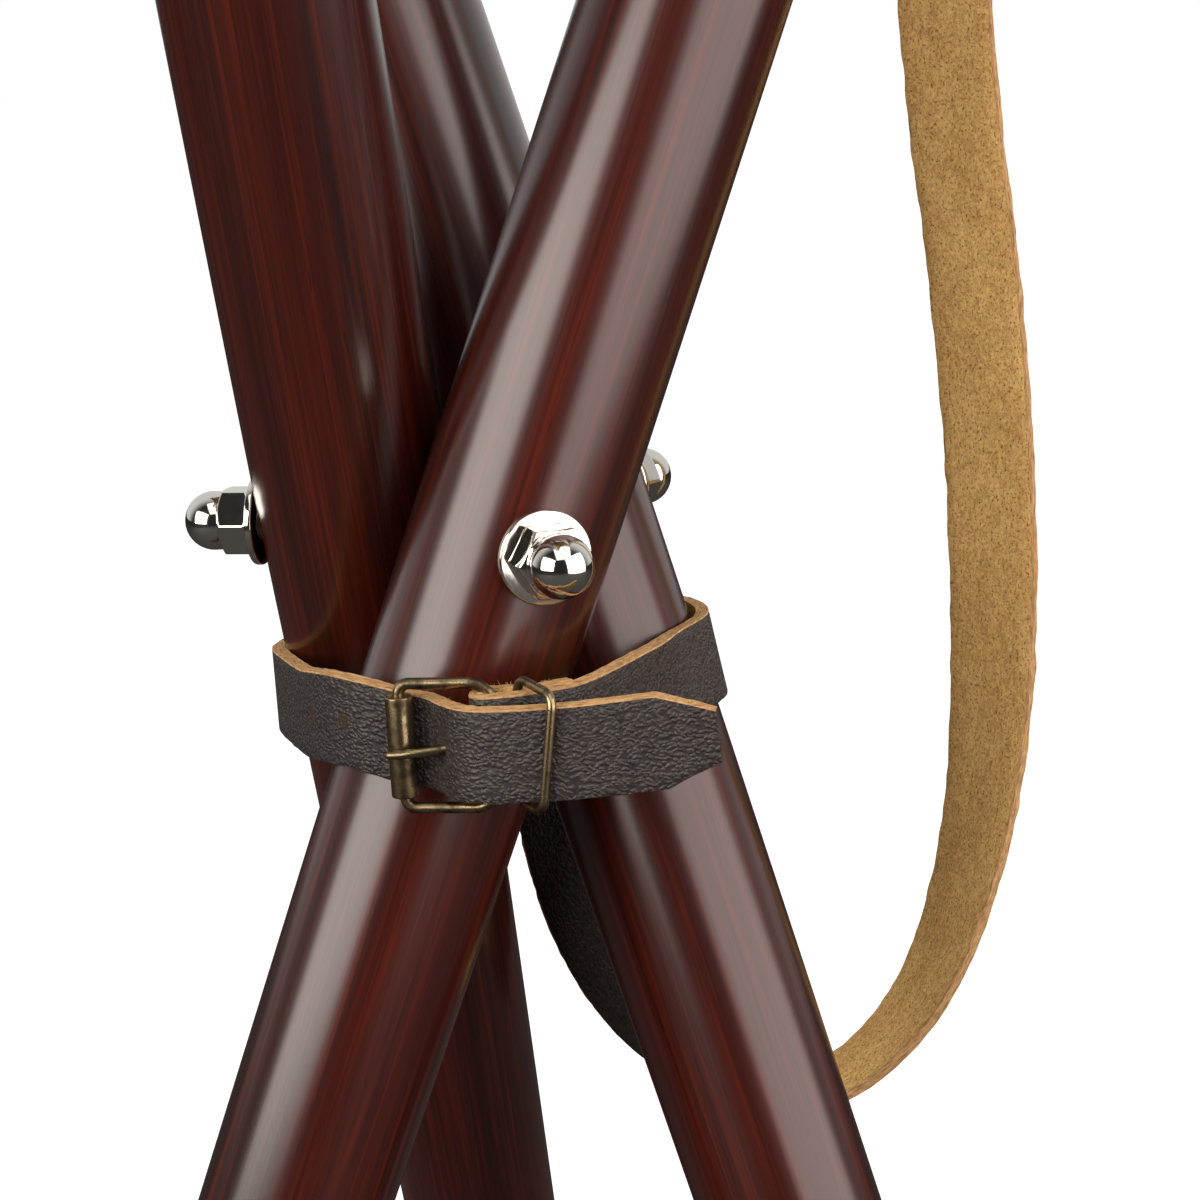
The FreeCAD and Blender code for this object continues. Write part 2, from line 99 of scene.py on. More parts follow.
class StoolLegSizes(bpy.types.PropertyGroup):
    """Sizes of the turned legs."""

    pivot_radius: size("Pivot radius", "Leg radius at the bolt", 0.0200)
    foot_radius: size("Foot radius", "Leg radius at the floor", 0.0154)
    top_radius: size("Top radius", "Leg radius at the top", 0.0188)
    swell: size("Swell", "Barrel of each half of the leg", 0.00025)
    above: size("Length above", "From the bolt to the leg's top", 0.370)
    top_edge: size("Top edge", "Rounding of the top edge", 0.003)
    foot_edge: size("Foot edge", "Easing of the sawn edge at the floor", 0.0009)


class StoolSlingSizes(bpy.types.PropertyGroup):
    """Sizes of the carry sling."""

    width: size("Width", "Width of the strap", 0.020)
    thickness: size("Thickness", "Thickness of the leather", 0.0025)
    ease: size("Ease", "Rounding of the cut edges", 0.0006)
    uneven: size("Uneven", "Waver of the cut edges", 0.00013)
    plane: turn_angle("Plane", "Turn of the upright plane that the sling hangs in", 10.5)


class StoolColours(bpy.types.PropertyGroup):
    """Colours of the finishes."""

    wood_dark: colour("Wood, dark", "Darkest stain", (0.016, 0.0024, 0.0014))
    wood_mid: colour("Wood, middle", "Stain between the streaks", (0.052, 0.0052, 0.0021))
    wood_streak: colour("Wood, streak", "Red streaks along the grain", (0.135, 0.0150, 0.0032))
    # Leather, crease: this colour is painted shade in the creases of the grain side
    grain_dark_and_crease_shade: colour("Leather, crease", "Creases of the dark grain side", (0.0100, 0.0078, 0.0070))
    grain_light: colour("Leather, pebble", "Pebbles of the dark grain side", (0.0640, 0.0500, 0.0460))
    # Suede, dark: the dark end of the nap, partly painted shade in its hollows and partly the leather's own
    # patchy tone
    suede_dark_and_hollow_shade: colour("Suede, dark", "Hollows of the tan flesh side", (0.42, 0.220, 0.062))
    suede_light: colour("Suede, light", "Nap of the tan flesh side", (0.90, 0.590, 0.225))
    suede_speck: colour("Suede, speck", "Specks between the naps", (0.16, 0.075, 0.022))
    # Cut edge, dark: this colour is painted shade in the hollows between the fibres
    edge_dark_and_hollow_shade: colour("Cut edge, dark", "Hollows between the fibres of a cut edge", (0.30, 0.150, 0.052))
    edge_light: colour("Cut edge, light", "Fibres of a cut edge", (0.66, 0.41, 0.19))
    brass_dull: colour("Brass, dull", "Patina of the brass", (0.070, 0.052, 0.030))
    brass_bright: colour("Brass, bright", "Polished brass", (0.34, 0.262, 0.148))


class StoolStage(bpy.types.PropertyGroup):
    """Camera, floor and lamps."""

    azimuth: turn_angle("Azimuth", "Camera's place round the stool, from its front", 10.508)
    elevation: turn_angle("Elevation", "Camera's height angle", 12.51)
    roll: turn_angle("Roll", "Camera's turn about its own axis", -2.369)
    distance: size("Distance", "Camera to the point that it looks at", 0.572625)
    aim_right: size("Aim, right", "Point looked at, to the right of the bolt", 0.025024)
    aim_rise: size("Aim, rise", "Point looked at, above the bolt", -0.017993)
    lens: FloatProperty(name="Lens", description="Focal length in millimetres", default=84.0)
    key_power: FloatProperty(name="Key power", description="Large lamp at the left, in watts", default=18.0)
    fill_power: FloatProperty(name="Fill power", description="Wide lamp at the right, in watts", default=28.0)
    top_power: FloatProperty(name="Top power", description="Lamp above the front, in watts", default=7.0)
    sky: FloatProperty(name="Sky", description="Strength of the light from all round", default=0.55)


class Link:
    """A shader socket that grows Math nodes in an expression, so that 1 - mask is a node."""

    def __init__(self, finish, socket):
        self.finish = finish
        self.socket = socket

    def maths(self, operation, first, second):
        return self.finish.node("ShaderNodeMath", {"operation": operation}, {0: first, 1: second})

    def __add__(self, other):
        return self.maths("ADD", self, other)

    def __radd__(self, other):
        return self.maths("ADD", other, self)

    def __sub__(self, other):
        return self.maths("SUBTRACT", self, other)

    def __rsub__(self, other):
        return self.maths("SUBTRACT", other, self)

    def __mul__(self, other):
        return self.maths("MULTIPLY", self, other)

    def __rmul__(self, other):
        return self.maths("MULTIPLY", other, self)

    def step(self, low, high):
        """0 below low, 1 above high, smooth between them; low may be the larger."""
        return self.finish.node(
            "ShaderNodeMapRange",
            {"interpolation_type": "SMOOTHSTEP"},
            {"Value": self, "From Min": low, "From Max": high},
        )


class Finish:
    """A material under construction."""

    def __init__(self, name, tree=None):
        if tree is None:
            self.material = bpy.data.materials.new(name)
            self.material.use_nodes = True
            tree = self.material.node_tree
        self.tree = tree
        self.tree.nodes.clear()

    def node(self, kind, settings=None, inputs=None, output=0):
        """Adds a node: settings first, then the values or links of its sockets. Gives one of its outputs."""
        node = self.tree.nodes.new(kind)
        for key, value in (settings or {}).items():
            setattr(node, key, value)
        for key, value in (inputs or {}).items():
            if isinstance(value, Link):
                self.tree.links.new(value.socket, node.inputs[key])
            else:
                node.inputs[key].default_value = value
        return Link(self, node.outputs[output]) if node.outputs else None

    def place(self, name, stretch):
        """A point attribute, stretched along its three axes."""
        point = self.node("ShaderNodeAttribute", {"attribute_name": name}, output="Vector")
        return self.node("ShaderNodeVectorMath", {"operation": "MULTIPLY"}, {0: point, 1: stretch})

    def noise(self, place, detail=2.0, roughness=0.5, output=0):
        """Smooth noise of about one bump to each unit."""
        inputs = {"Vector": place, "Scale": 1.0, "Detail": detail, "Roughness": roughness}
        return self.node("ShaderNodeTexNoise", inputs=inputs, output=output)

    def object_noise(self, scale, detail=2.0, roughness=0.5):
        """Smooth noise on the piece's own coordinates, of about so many bumps to the metre."""
        spot = self.node("ShaderNodeTexCoord", output="Object")
        place = self.node("ShaderNodeVectorMath", {"operation": "SCALE"}, {0: spot, "Scale": scale})
        return self.noise(place, detail, roughness)

    def mix(self, share, first, second):
        """From the first colour to the second."""
        colours = {6: first, 7: second}
        for key, value in colours.items():
            if not isinstance(value, Link):
                colours[key] = (*value, 1.0)
        return self.node("ShaderNodeMix", {"data_type": "RGBA"}, {0: share, **colours}, output=2)

    def bump(self, height, distance, strength):
        """A normal from a height of 0 to 1 over a real distance."""
        inputs = {"Height": height, "Distance": distance, "Strength": strength}
        return self.node("ShaderNodeBump", inputs=inputs)

    def surface(self, **inputs):
        """Ends the material in one Principled shader; input names have underscores for spaces."""
        named = {key.replace("_", " ").title().replace("Ior", "IOR"): value for key, value in inputs.items()}
        shader = self.node("ShaderNodeBsdfPrincipled", inputs=named)
        self.node("ShaderNodeOutputMaterial", inputs={"Surface": shader})
        return self.material


def wood_finish(look):
    """Stained hardwood under varnish: broad bands, red streaks, fine fibres and short dark pores."""
    f = Finish("stained_wood")
    band = f.noise(f.place("leg_place", (75.0, 75.0, 2.2)), 2.0)
    streak = f.noise(f.place("leg_place", (620.0, 620.0, 9.0)), 3.0, 0.6)
    fibre = f.noise(f.place("leg_place", (1500.0, 1500.0, 24.0)), 2.0)
    pore = f.noise(f.place("leg_place", (2400.0, 2400.0, 130.0)), 1.0)
    body = f.mix(band.step(0.32, 0.66), look.wood_dark, look.wood_mid)
    body = f.mix(streak.step(0.42, 0.74) * 0.5, body, look.wood_streak)
    body = f.mix(fibre.step(0.58, 0.30) * 0.5, body, look.wood_dark)
    pits = pore.step(0.30, 0.24)
    body = f.mix(pits * 0.7, body, look.wood_dark)
    relief = fibre * 0.35 + (1.0 - pits) * 0.65
    return f.surface(
        base_color=body,
        roughness=0.30 + fibre * 0.12,
        specular_ior_level=0.12,
        normal=f.bump(relief, 0.00004, 0.6),
        coat_weight=1.0,
        coat_roughness=0.23,
        coat_ior=1.6,
    )


def grain_finish(look):
    """Dark grain side: soft pebbles of less than a millimetre, pulled out of shape by larger wrinkles. Its
    colour is painted darker in the creases and in the low parts of the wrinkles and specks, as shade that
    follows the bumps, with a faint broad tone of its own.
    """
    f = Finish("grain_leather")
    wander = f.noise(f.place("strap_place", (330.0, 330.0, 330.0)), output="Color")
    even = f.place("strap_place", (1050.0, 1500.0, 1050.0))
    pull = {0: wander, 1: (2.6, 2.6, 2.6), 2: even}
    pulled = f.node("ShaderNodeVectorMath", {"operation": "MULTIPLY_ADD"}, pull)
    softness = {"Vector": pulled, "Scale": 1.0, "Smoothness": 0.45}
    cells = f.node("ShaderNodeTexVoronoi", {"feature": "SMOOTH_F1"}, softness)
    wrinkle = f.noise(f.place("strap_place", (520.0, 760.0, 520.0)), 3.0, 0.6)
    speck = f.noise(f.place("strap_place", (3600.0, 3600.0, 3600.0)), 2.0)
    broad = f.noise(f.place("strap_place", (90.0, 90.0, 90.0)), 2.0)
    pebble = cells.step(0.75, 0.15)
    # Painted shade: the creases and the low wrinkles and specks take the dark colour, where the bump makes them
    # low; the broad noise is the leather's own tone
    tone_and_crease_shade = pebble * 0.45 + wrinkle.step(0.35, 0.65) * 0.3 + speck.step(0.3, 0.7) * 0.2 + broad * 0.05
    return f.surface(
        base_color=f.mix(tone_and_crease_shade, look.grain_dark_and_crease_shade, look.grain_light),
        roughness=0.52 - pebble * 0.12,
        specular_ior_level=0.5,
        normal=f.bump(pebble * 0.62 + wrinkle * 0.3 + speck * 0.08, 0.00036, 0.9),
    )


def suede_finish(look):
    """Tan flesh side: short matted nap, with paler tufts, larger patches of its own tone and a few dark specks.
    Its colour is painted darker where the nap and tufts are low, as shade in the hollows.
    """
    f = Finish("suede_leather")
    nap = f.noise(f.place("strap_place", (900.0, 1200.0, 900.0)), 5.0, 0.85)
    patch = f.noise(f.place("strap_place", (40.0, 90.0, 40.0)), 3.0, 0.6)
    tuft = f.noise(f.place("strap_place", (430.0, 640.0, 430.0)), 3.0, 0.7)
    hollow = f.noise(f.place("strap_place", (1500.0, 1900.0, 1500.0)), 2.0, 0.6).step(0.46, 0.30)
    # Painted shade: where the nap and the tufts are low in the bump, the colour goes to the dark end; the large
    # patches are the leather's own tone
    share = nap.step(0.36, 0.64) * 0.50 + patch.step(0.3, 0.7) * 0.22 + tuft.step(0.36, 0.68) * 0.28
    body = f.mix(share, look.suede_dark_and_hollow_shade, look.suede_light)
    return f.surface(
        base_color=f.mix(hollow * 0.85, body, look.suede_speck),
        roughness=0.92,
        specular_ior_level=0.15,
        normal=f.bump(nap * 0.6 + tuft * 0.4, 0.00030, 0.8),
    )


def edge_finish(look):
    """Cut edge of the leather: pale fibres along the edge, with painted shade in the hollows between them."""
    f = Finish("leather_cut_edge")
    fibre = f.noise(f.place("strap_place", (420.0, 2200.0, 2200.0)), 4.0, 0.7)
    # Painted shade: the low parts of the fibre bump take the dark colour of the hollows
    share = fibre.step(0.30, 0.66)
    return f.surface(
        base_color=f.mix(share, look.edge_dark_and_hollow_shade, look.edge_light),
        roughness=0.9,
        specular_ior_level=0.15,
        normal=f.bump(fibre, 0.00022, 0.9),
    )


# Numbers of the sides of a leather strap or panel
GRAIN_SIDE, CUT_SIDE, FLESH_SIDE = range(3)


def leather_finishes(look):
    """Finishes of a strap or panel, by the number of a side: outer grain, cut edge, inner flesh."""
    return [grain_finish(look), edge_finish(look), suede_finish(look)]


def nickel_finish():
    """Bright nickel plate with faint polishing haze."""
    f = Finish("bright_nickel")
    haze = f.object_noise(700.0, 3.0)
    return f.surface(base_color=(0.80, 0.765, 0.70, 1.0), metallic=1.0, roughness=0.05 + haze * 0.07)


def brass_finish(look):
    """Antique brass plate: brown patina in cloudy patches, polished where it is handled."""
    f = Finish("antique_brass")
    grit = f.object_noise(1900.0)
    wear = f.object_noise(260.0, 4.0, 0.65).step(0.34, 0.62)
    return f.surface(
        base_color=f.mix(wear, look.brass_dull, look.brass_bright),
        metallic=1.0,
        roughness=0.38 - wear * 0.16 + grit * 0.08,
        normal=f.bump(grit, 0.00002, 0.5),
    )


def thread_finish():
    """Zinc-plated steel of the bolt."""
    f = Finish("zinc_thread")
    zinc = f.mix(f.object_noise(300.0, 3.0), (0.30, 0.30, 0.31), (0.55, 0.55, 0.56))
    return f.surface(base_color=zinc, metallic=1.0, roughness=0.42)


def hole_shade_finish():
    """Shadowed brown inside of a punched hole."""
    f = Finish("punched_hole")
    # Painted shade: these dark browns stand for the shaded inside of the hole
    shade = f.mix(f.object_noise(1500.0, 3.0), (0.012, 0.006, 0.003), (0.085, 0.036, 0.012))
    return f.surface(base_color=shade, roughness=0.95)


def waxed_thread_finish():
    """Waxed tan thread with twisted strands."""
    f = Finish("waxed_thread")
    strand = f.mix(f.object_noise(2600.0), (0.16, 0.085, 0.034), (0.46, 0.29, 0.14))
    return f.surface(base_color=strand, roughness=0.7)


def grid_quads(rows, columns, close_columns=True):
    """Corner numbers of the quads of a grid of points laid out row by row, joined round its columns."""
    row = np.arange(rows - 1)[:, None]
    column = np.arange(columns if close_columns else columns - 1)[None, :]
    after = (column + 1) % columns
    first, second = row * columns, (row + 1) * columns
    corners = (first + column, first + after, second + after, second + column)
    return np.stack(np.broadcast_arrays(*corners), axis=-1).reshape(-1, 4)


def weld(mesh):
    """Merges points that coincide, so that seams and poles are closed, and turns all faces outwards."""
    work = bmesh.new()
    work.from_mesh(mesh)
    bmesh.ops.remove_doubles(work, verts=work.verts, dist=1e-7)
    bmesh.ops.dissolve_degenerate(work, edges=work.edges, dist=1e-8)
    bmesh.ops.recalc_face_normals(work, faces=work.faces)
    work.to_mesh(mesh)
    work.free()


def make_piece(name, points, finishes, faces=None, finish_of_face=None, places=None, sharp=35.0):
    """A mesh object at the origin from arrays of points and faces, with its finishes and its pattern places.
    Points without faces are a grid that closes round its columns."""
    if faces is None:
        faces = grid_quads(*points.shape[:2])
    mesh = bpy.data.meshes.new(name)
    mesh.from_pydata(points.reshape(-1, 3).tolist(), [], [list(face) for face in faces])
    if places is not None:
        attribute = mesh.attributes.new(places[0], "FLOAT_VECTOR", "POINT")
        attribute.data.foreach_set("vector", np.asarray(places[1], np.float32).ravel())
    for finish in finishes:
        mesh.materials.append(finish)
    if finish_of_face is not None:
        mesh.polygons.foreach_set("material_index", np.asarray(finish_of_face, np.int32))
    weld(mesh)
    mesh.shade_smooth()
    mesh.set_sharp_from_angle(angle=radians(sharp))
    piece = bpy.data.objects.new(name, mesh)
    bpy.context.scene.collection.objects.link(piece)
    return piece


# Shift of the wood's pattern from one leg to the next, in the leg's own frame
GRAIN_SHIFT = np.array((0.31, 0.17, 1.3))


def leg_axes(name):
    """Pivot centre, the stud's way, the way square to it in the leaning plane, and the leg's axis."""
    lean = LEAN[name]
    across = lean * cos(TILT) - UP * sin(TILT)
    along = lean * sin(TILT) + UP * cos(TILT)
    return HUB + STUD[name] * HUB_OFFSET, STUD[name], across, along


def leg_radius_at(along, legs):
    """Leg radius: straight taper from the pivot to each end, plus a parabola of the swell on each half."""
    below = HUB[2] / cos(TILT)
    share = np.where(along < 0, -along / below, along / legs.above)
    end = np.where(along < 0, legs.foot_radius, legs.top_radius)
    return legs.pivot_radius + (end - legs.pivot_radius) * share + 4.0 * legs.swell * share * (1.0 - share)


def leg_arrays(name, legs, rows=150, columns=112):
    """A surface of revolution about the leg's axis: each line along the leg runs from the level floor to the
    shoulder, then round the top edge. Gives points and the same points in the leg's own frame."""
    centre, stud, across, axis = leg_axes(name)
    turn = np.linspace(0.0, 2.0 * pi, columns, endpoint=False)

    def floor_at(radius):
        return (radius * np.sin(turn) * sin(TILT) - HUB[2]) / cos(TILT)

    foot = floor_at(legs.foot_radius)
    for _ in range(3):
        foot = floor_at(leg_radius_at(foot, legs))
    foot_radius = leg_radius_at(foot, legs)
    eased = foot_radius - legs.foot_edge
    share = np.linspace(0.0, 1.0, rows)[:, None]
    shoulder = legs.above - legs.top_edge
    low = foot + legs.foot_edge
    body = low + (shoulder - low) * share
    bend = np.linspace(0.0, pi / 2.0, 8)[1:, None] + np.zeros(columns)
    top_inner = float(leg_radius_at(np.array(shoulder), legs)) - legs.top_edge
    round_up = shoulder + legs.top_edge * np.sin(bend)
    round_in = top_inner + legs.top_edge * np.cos(bend)
    middle = np.zeros((1, columns))
    along = np.vstack([floor_at(0.0)[None], floor_at(eased)[None], body, round_up, middle + legs.above])
    radius = np.vstack([middle, eased[None], leg_radius_at(body, legs), round_in, middle])
    local = np.stack([radius * np.cos(turn), radius * np.sin(turn), along], axis=-1)
    points = centre + local @ np.array([stud, across, axis])
    return points, local


class STOOL_OT_turn_legs(bpy.types.Operator):
    """Turns the three stained legs from the floor to their tops"""

    bl_idname = "stool.turn_legs"
    bl_label = "Turn legs"

    def execute(self, context):
        legs = context.scene.stool_legs
        finish = wood_finish(context.scene.stool_colours)
        for number, name in enumerate(LEGS):
            points, local = leg_arrays(name, legs)
            places = ("leg_place", local + GRAIN_SHIFT * number)
            piece = make_piece(f"turned_leg_{name}", points, [finish], places=places)
            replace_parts(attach(piece, f"leg_{name}"), f"leg_{name}")
        return {"FINISHED"}


# Route of the carry sling in its upright plane, in millimetres: right, above the bolt, behind the axis
SLING_ROUTE = (
    (130, 327, 42.5), (126.5, 316.5, 42.8), (119.5, 288, 45), (115, 240, 47), (107.5, 188, 47),
    (102.5, 135, 47), (103.5, 84, 47), (109.5, 36, 47), (112.5, -12, 47), (112, -57, 47),
    (107, -93, 47), (95.8, -124.8, 47), (76.4, -145, 47), (54, -149, 47), (36.5, -139, 47),
    (24, -119, 47), (16.5, -95, 47), (13, -71, 47), (12.4, -56, 46.8), (13, -44, 46.7),
    (12.6, -32, 46.7), (12.4, -19, 46.7), (12.4, -17.5, 43.8), (12.4, -19, 41), (12.6, -32, 41),
    (12.8, -44, 41.3), (13.3, -53, 43.8), (14.2, -62, 44.2),
)
# The point of the route where the hook over the closing strap starts, counted from 1
SLING_HOOK = 20
# Share of the length past which the sling turns flat against the closing strap
SLING_FLAT_FROM = 0.93
# Distances of its two rivets from its ends
SLING_TOP_RIVET = 0.010
SLING_END_RIVET = 0.008

# Turn of the sling's flesh side towards the front, over shares of its length: 90 is full face, 0 edge on
SLING_TURN = (
    (0.00, 88.0), (0.10, 80.0), (0.36, 69.0), (0.51, 64.0), (0.59, 57.0), (0.64, 44.0), (0.69, 30.0),
    (0.73, 19.0), (0.80, -4.0), (0.86, -40.0), (0.91, -64.0), (0.96, -74.0), (1.00, -78.0),
)


def spline_points(name, controls, resolution=36):
    """Points along a smooth open spline with the route as its control points."""
    curve = bpy.data.curves.new(name, "CURVE")
    curve.dimensions = "3D"
    curve.resolution_u = resolution
    spline = curve.splines.new("NURBS")
    spline.points.add(len(controls) - 1)
    weighted = np.column_stack([controls, np.ones(len(controls))])
    spline.points.foreach_set("co", weighted.astype(np.float32).ravel())
    spline.order_u = 3
    spline.use_endpoint_u = True
    holder = bpy.data.objects.new(name, curve)
    bpy.context.scene.collection.objects.link(holder)
    graph = bpy.context.evaluated_depsgraph_get()
    mesh = bpy.data.meshes.new_from_object(holder.evaluated_get(graph))
    points = np.zeros(len(mesh.vertices) * 3)
    mesh.vertices.foreach_get("co", points)
    bpy.data.meshes.remove(mesh)
    bpy.data.objects.remove(holder)
    bpy.data.curves.remove(curve)
    return points.reshape(-1, 3)


def unit(vectors):
    """Vectors of length one."""
    return vectors / np.linalg.norm(vectors, axis=-1, keepdims=True)


def path_lengths(points):
    """Distance along a path at each of its points."""
    steps = np.linalg.norm(np.diff(points, axis=0), axis=1)
    return np.concatenate([[0.0], np.cumsum(steps)])


def eased_table(table, shares):
    """Values of a short table at the shares, through smooth cubic pieces with finite-difference slopes."""
    x, y = np.array(table).T
    slopes = np.gradient(y, x)
    place = np.clip(np.searchsorted(x, shares, side="right") - 1, 0, len(x) - 2)
    width = x[place + 1] - x[place]
    t = (shares - x[place]) / width
    start = y[place] * (1 + 2 * t) * (1 - t) ** 2 + slopes[place] * width * t * (1 - t) ** 2
    end = y[place + 1] * t ** 2 * (3 - 2 * t) + slopes[place + 1] * width * t ** 2 * (t - 1)
    return start + end


def smooth_share(value, low, high):
    """0 at low, 1 at high, smooth between them; low may be the larger."""
    share = np.clip((value - low) / (high - low), 0.0, 1.0)
    return share * share * (3.0 - 2.0 * share)


def strap_profile(width, thickness, ease, bevel=0.0, face_steps=10, edge_steps=5):
    """Outline of a strap's section as (across, outwards) pairs, in turn: outer face, eased edge, inner face,
    the other eased edge. A bevel draws in the outer face at its +across edge. The last array numbers the sides
    of the outline: 0 outer face and the ease of its -across edge, 1 cut edge, 2 inner face."""
    half = width / 2.0
    depth = thickness / 2.0
    face = np.linspace(-1.0, 1.0, face_steps)
    reach = half - ease
    outer = np.column_stack([np.interp(face, (-1, 1), (-reach, reach - bevel)), np.full(face_steps, depth)])
    inner = np.column_stack([-face * reach, np.full(face_steps, -depth)])
    rise = np.linspace(depth - ease * 0.4, -depth + ease * 0.4, edge_steps)[:, None]
    lean = np.linspace(half - bevel, half, edge_steps)[:, None]
    edge = np.hstack([lean, rise])
    back = np.hstack([np.full((edge_steps, 1), -half), -rise])
    outline = np.vstack([outer, edge, inner, back])
    sides = np.repeat((0, 1, 2, 1, 0), (face_steps - 1, edge_steps + 1, face_steps - 1, edge_steps, 1))
    return outline, sides


def strap_arrays(path, across, outward, outline, uneven):
    """A strap: its section carried along a path. Each point is path + across * a + outward * b. Gives points
    and pattern places."""
    offsets = outline + uneven
    points = path[:, None] + across[:, None] * offsets[..., :1] + outward[:, None] * offsets[..., 1:]
    travel = np.broadcast_to(path_lengths(path)[:, None, None], (*points.shape[:2], 1))
    return points, np.concatenate([travel, offsets], axis=-1)


def strap_faces(rows, sides, start_closed, end_closed):
    """Faces of a stretch of a strap and the side of each, with one face over each end that is closed."""
    columns = len(sides)
    faces = grid_quads(rows, columns).tolist()
    kinds = np.tile(sides, rows - 1).tolist()
    for closed, first in ((start_closed, 0), (end_closed, (rows - 1) * columns)):
        if closed:
            faces.append(list(range(first, first + columns)))
            kinds.append(CUT_SIDE)
    return faces, kinds


def edge_roughness(rows, outline, amount, seed):
    """Small uneven shifts of the points of the cut edges, smooth along the strap over a few points."""
    drawn = np.random.default_rng(seed).normal(0.0, 1.0, (rows + 4, len(outline), 1))
    smooth = (drawn[:-4] + 2.0 * drawn[1:-3] + 3.0 * drawn[2:-2] + 2.0 * drawn[3:-1] + drawn[4:]) / 5.0
    across = np.abs(outline[:, :1])
    on_edge = (across > 0.97 * across.max()).astype(float)
    return smooth * on_edge * amount * np.sign(outline[:, :1]) * np.array((1.0, 0.0))


def fibre_arrays(roots, ways, lengths, radius, seed):
    """Loose fibres: each is a thin three-sided spike from its root along its way, bent a little sideways."""
    rng = np.random.default_rng(seed)
    count = len(roots)
    scatter, bent, slim, knee = 0.45, 0.5, 0.7, 0.55
    ways = unit(ways + rng.normal(0.0, scatter, (count, 3)))
    side = unit(np.cross(ways, rng.normal(0.0, 1.0, (count, 3))))
    other = np.cross(ways, side)
    turn = np.arange(3) * 2.0 * pi / 3.0
    ring = side[:, None] * np.cos(turn)[None, :, None] + other[:, None] * np.sin(turn)[None, :, None]
    base = roots[:, None] + ring * radius
    middle = roots[:, None] + (ways * knee * lengths)[:, None] + ring * radius * slim
    tip = roots + (ways + side * bent) * lengths
    points = np.concatenate([base, middle, tip[:, None]], axis=1)
    walls = [(0, 1, 4, 3), (1, 2, 5, 4), (2, 0, 3, 5)]
    caps = [(3, 4, 6), (4, 5, 6), (5, 3, 6), (2, 1, 0)]
    starts = (np.arange(count) * points.shape[1])[:, None, None]
    faces = (starts + np.array(walls)).reshape(-1, 4).tolist()
    faces += (starts + np.array(caps)).reshape(-1, 3).tolist()
    return points, faces


class STOOL_OT_hang_sling(bpy.types.Operator):
    """Hangs the carry sling: a flat strap that twists along its smooth hanging line"""

    bl_idname = "stool.hang_sling"
    bl_label = "Hang carry sling"

    def execute(self, context):
        sling = context.scene.stool_sling
        look = context.scene.stool_colours
        right = np.array((cos(sling.plane), sin(sling.plane), 0.0))
        behind = np.array((-sin(sling.plane), cos(sling.plane), 0.0))
        controls = HUB * UP + np.array(SLING_ROUTE) * MM @ np.array([right, UP, behind])
        path = spline_points("sling_route", controls)
        heading = unit(np.gradient(path, axis=0))
        hook = int(np.argmin(np.linalg.norm(path - controls[SLING_HOOK - 1], axis=1)))
        lengths = path_lengths(path)
        shares = np.clip(lengths / lengths[hook], 0.0, 1.0)
        inward = unit(np.cross(behind, heading) + right * 1e-6)
        turn = np.radians(eased_table(SLING_TURN, shares))[:, None]
        flesh = inward * np.cos(turn) - behind * np.sin(turn)
        flat = np.clip((shares[:, None] - SLING_FLAT_FROM) / (1.0 - SLING_FLAT_FROM), 0.0, 1.0)
        across = unit(np.cross(flesh, heading)) * (1.0 - flat) + STRAP_X * flat
        across = unit(across - heading * np.sum(across * heading, axis=1, keepdims=True))
        flesh = np.cross(heading, across)
        outline, sides = strap_profile(sling.width, sling.thickness, sling.ease)
        uneven = edge_roughness(len(path), outline, sling.uneven, seed=11)
        points, places = strap_arrays(path, across, flesh, outline, uneven)
        finishes = leather_finishes(look)[::-1]

        def stretch(name, first, last, ends):
            faces, kinds = strap_faces(last - first, sides, *ends)
            return make_piece(name, points[first:last], finishes, faces, kinds,
                              ("strap_place", places[first:last]))

        strap = stretch("carry_sling_strap", 0, hook + 1, (True, False))
        end = stretch("carry_sling_end", hook, len(path), (False, True))
        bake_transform(strap)
        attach(end, "hub")
        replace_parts(strap, "carry_sling")

        hardware = context.scene.stool_hardware
        brass = brass_finish(look)
        rivets = (
            ("sling_top_rivet", "leg_a", SLING_TOP_RIVET),
            ("sling_end_rivet", "hub", lengths[-1] - SLING_END_RIVET),
        )
        for name, body, reach in rivets:
            spot = int(np.searchsorted(lengths, reach))
            base = path[spot] - flesh[spot] * sling.thickness / 2.0
            dome = set_on(lathe(rivet_profile(hardware), columns=48), base, across[spot], -flesh[spot])
            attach(make_piece(name, dome, [brass]), body)
        return {"FINISHED"}


def lathe(profile, columns=96):
    """A surface of revolution about local Z: each (radius, height) pair of a profile goes once round it."""
    turn = np.linspace(0.0, 2.0 * pi, columns, endpoint=False)
    radius, height = np.asarray(profile, float).T[:, :, None]
    return np.stack(np.broadcast_arrays(radius * np.cos(turn), radius * np.sin(turn), height), axis=-1)


def quarter_turn(centre_radius, centre_height, radius, start, end, steps=7):
    """Profile points of an arc between two angles in degrees; 0 points away from the axis, 90 up along it."""
    angle = np.radians(np.linspace(start, end, steps))
    return np.column_stack([centre_radius + radius * np.cos(angle), centre_height + radius * np.sin(angle)])


def set_on(local, origin, first, axis):
    """Local points moved so that their Z lies along an axis and their X near the first way."""
    axis = unit(np.asarray(axis, float))
    first = unit(first - axis * np.dot(first, axis))
    return origin + local @ np.array([first, np.cross(axis, first), axis])


